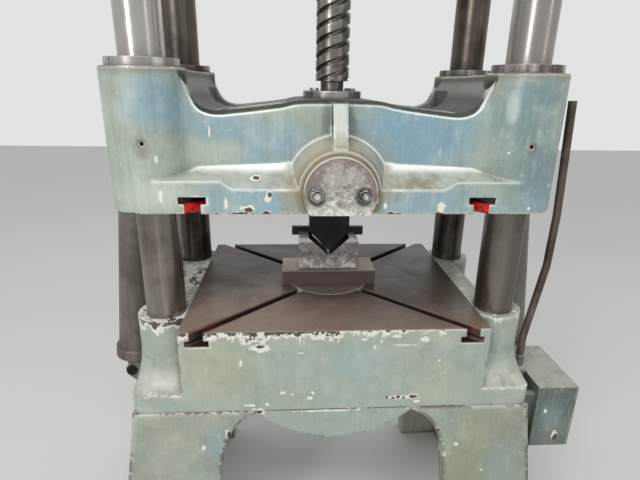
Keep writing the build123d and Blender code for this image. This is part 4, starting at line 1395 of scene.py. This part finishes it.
def makeTubePaint(name, p):
    mat, tree, skin, spot = startMaterial(name)
    cloud = noise(tree, spot, 7.0, 3.0, 0.6, 0.4)
    runs = place(tree, streaks, {"Fine": 60.0, "Drop": 3.0})["Mask"]
    edge = place(tree, edgeWear, {"Width": 0.002, "Grain": 60.0})
    base, dark = linear(*p["base"]), linear(*p["dark"])
    color = blendColor(tree, ramp(tree, cloud, 0.35, 0.7), base, dark)
    layers = [
        (times(tree, runs, 0.6), p["runs"]),
        (ramp(tree, edge["Level"], 0.2, 0.6), p["light"]),
    ]
    rough = ramp(tree, cloud, 0.3, 0.7, 0.32, 0.46)
    wire(tree, skin, layOn(tree, color, layers), rough, 0.5, cloud, 0.0006, edge["Normal"])
    return mat


made = {name: makePaint(name, p) for name, p in paints.items()}
made.update({name: makeSteel(name, p) for name, p in steels.items()})
made.update({name: makeTableMetal(name, p) for name, p in plates.items()})
made["gripBlack"] = makeGrip("gripBlack", grip)
made["tubePaint"] = makeTubePaint("tubePaint", tube)
print("materials made:", len(made))

finishes = {
    "crossheadPaint": ["crosshead_casting"],
    "bedPaint": ["bed_casting"],
    "legPaint": ["left_leg", "right_leg"],
    "crownPaint": ["crown_casting", "handwheel"],
    "boxPaint": [
        "control_box", "box_cover", "lever_hub", "box_hangers",
        "foot_bracket_left", "foot_bracket_right",
    ],
    "columnSteel": ["column_front_left", "column_front_right"],
    "shadedRearSteel": ["column_rear_left", "column_rear_right"],
    "collarSteel": ["wiper_rings", "wiper_screws", "thrust_ring", "ring_screws"],
    "discSteel": ["end_plate_front", "end_plate_rear"],
    "blockSteel": ["v_block"],
    "gaugeSteel": ["gauge_bar"],
    "nutSteel": ["end_studs", "end_washers", "end_nuts"],
    "screwSteel": ["press_screw"],
    "blackSteel": [
        "punch", "punch_studs", "gauge_screws", "crown_washers", "crown_nuts",
        "foot_nuts", "leg_bolts", "screw_nut_bolts", "bracket_bolts", "cover_screws",
        "lever_pin", "wheel_nut", "wheel_key", "foot_pin_left", "foot_pin_right",
        "head_pin_left", "head_pin_right", "tool_bar",
    ],
    "tableTop": ["table_insert"],
    "diePlateSteel": ["die_plate"],
    "bronzeMetal": ["screw_nut", "guide_bushes", "thrust_bearing"],
    "tubePaint": ["balance_tube_left", "balance_tube_right"],
    "rodSteel": [
        "balance_rod_left", "balance_rod_right", "balance_gland_left", "balance_gland_right",
        "control_lever",
    ],
    "gripBlack": ["wheel_grips"],
}
for name, members in finishes.items():
    for member in members:
        mesh = nodes[member].data
        mesh.materials.clear()
        mesh.materials.append(made[name])
print("finishes given to the nodes")
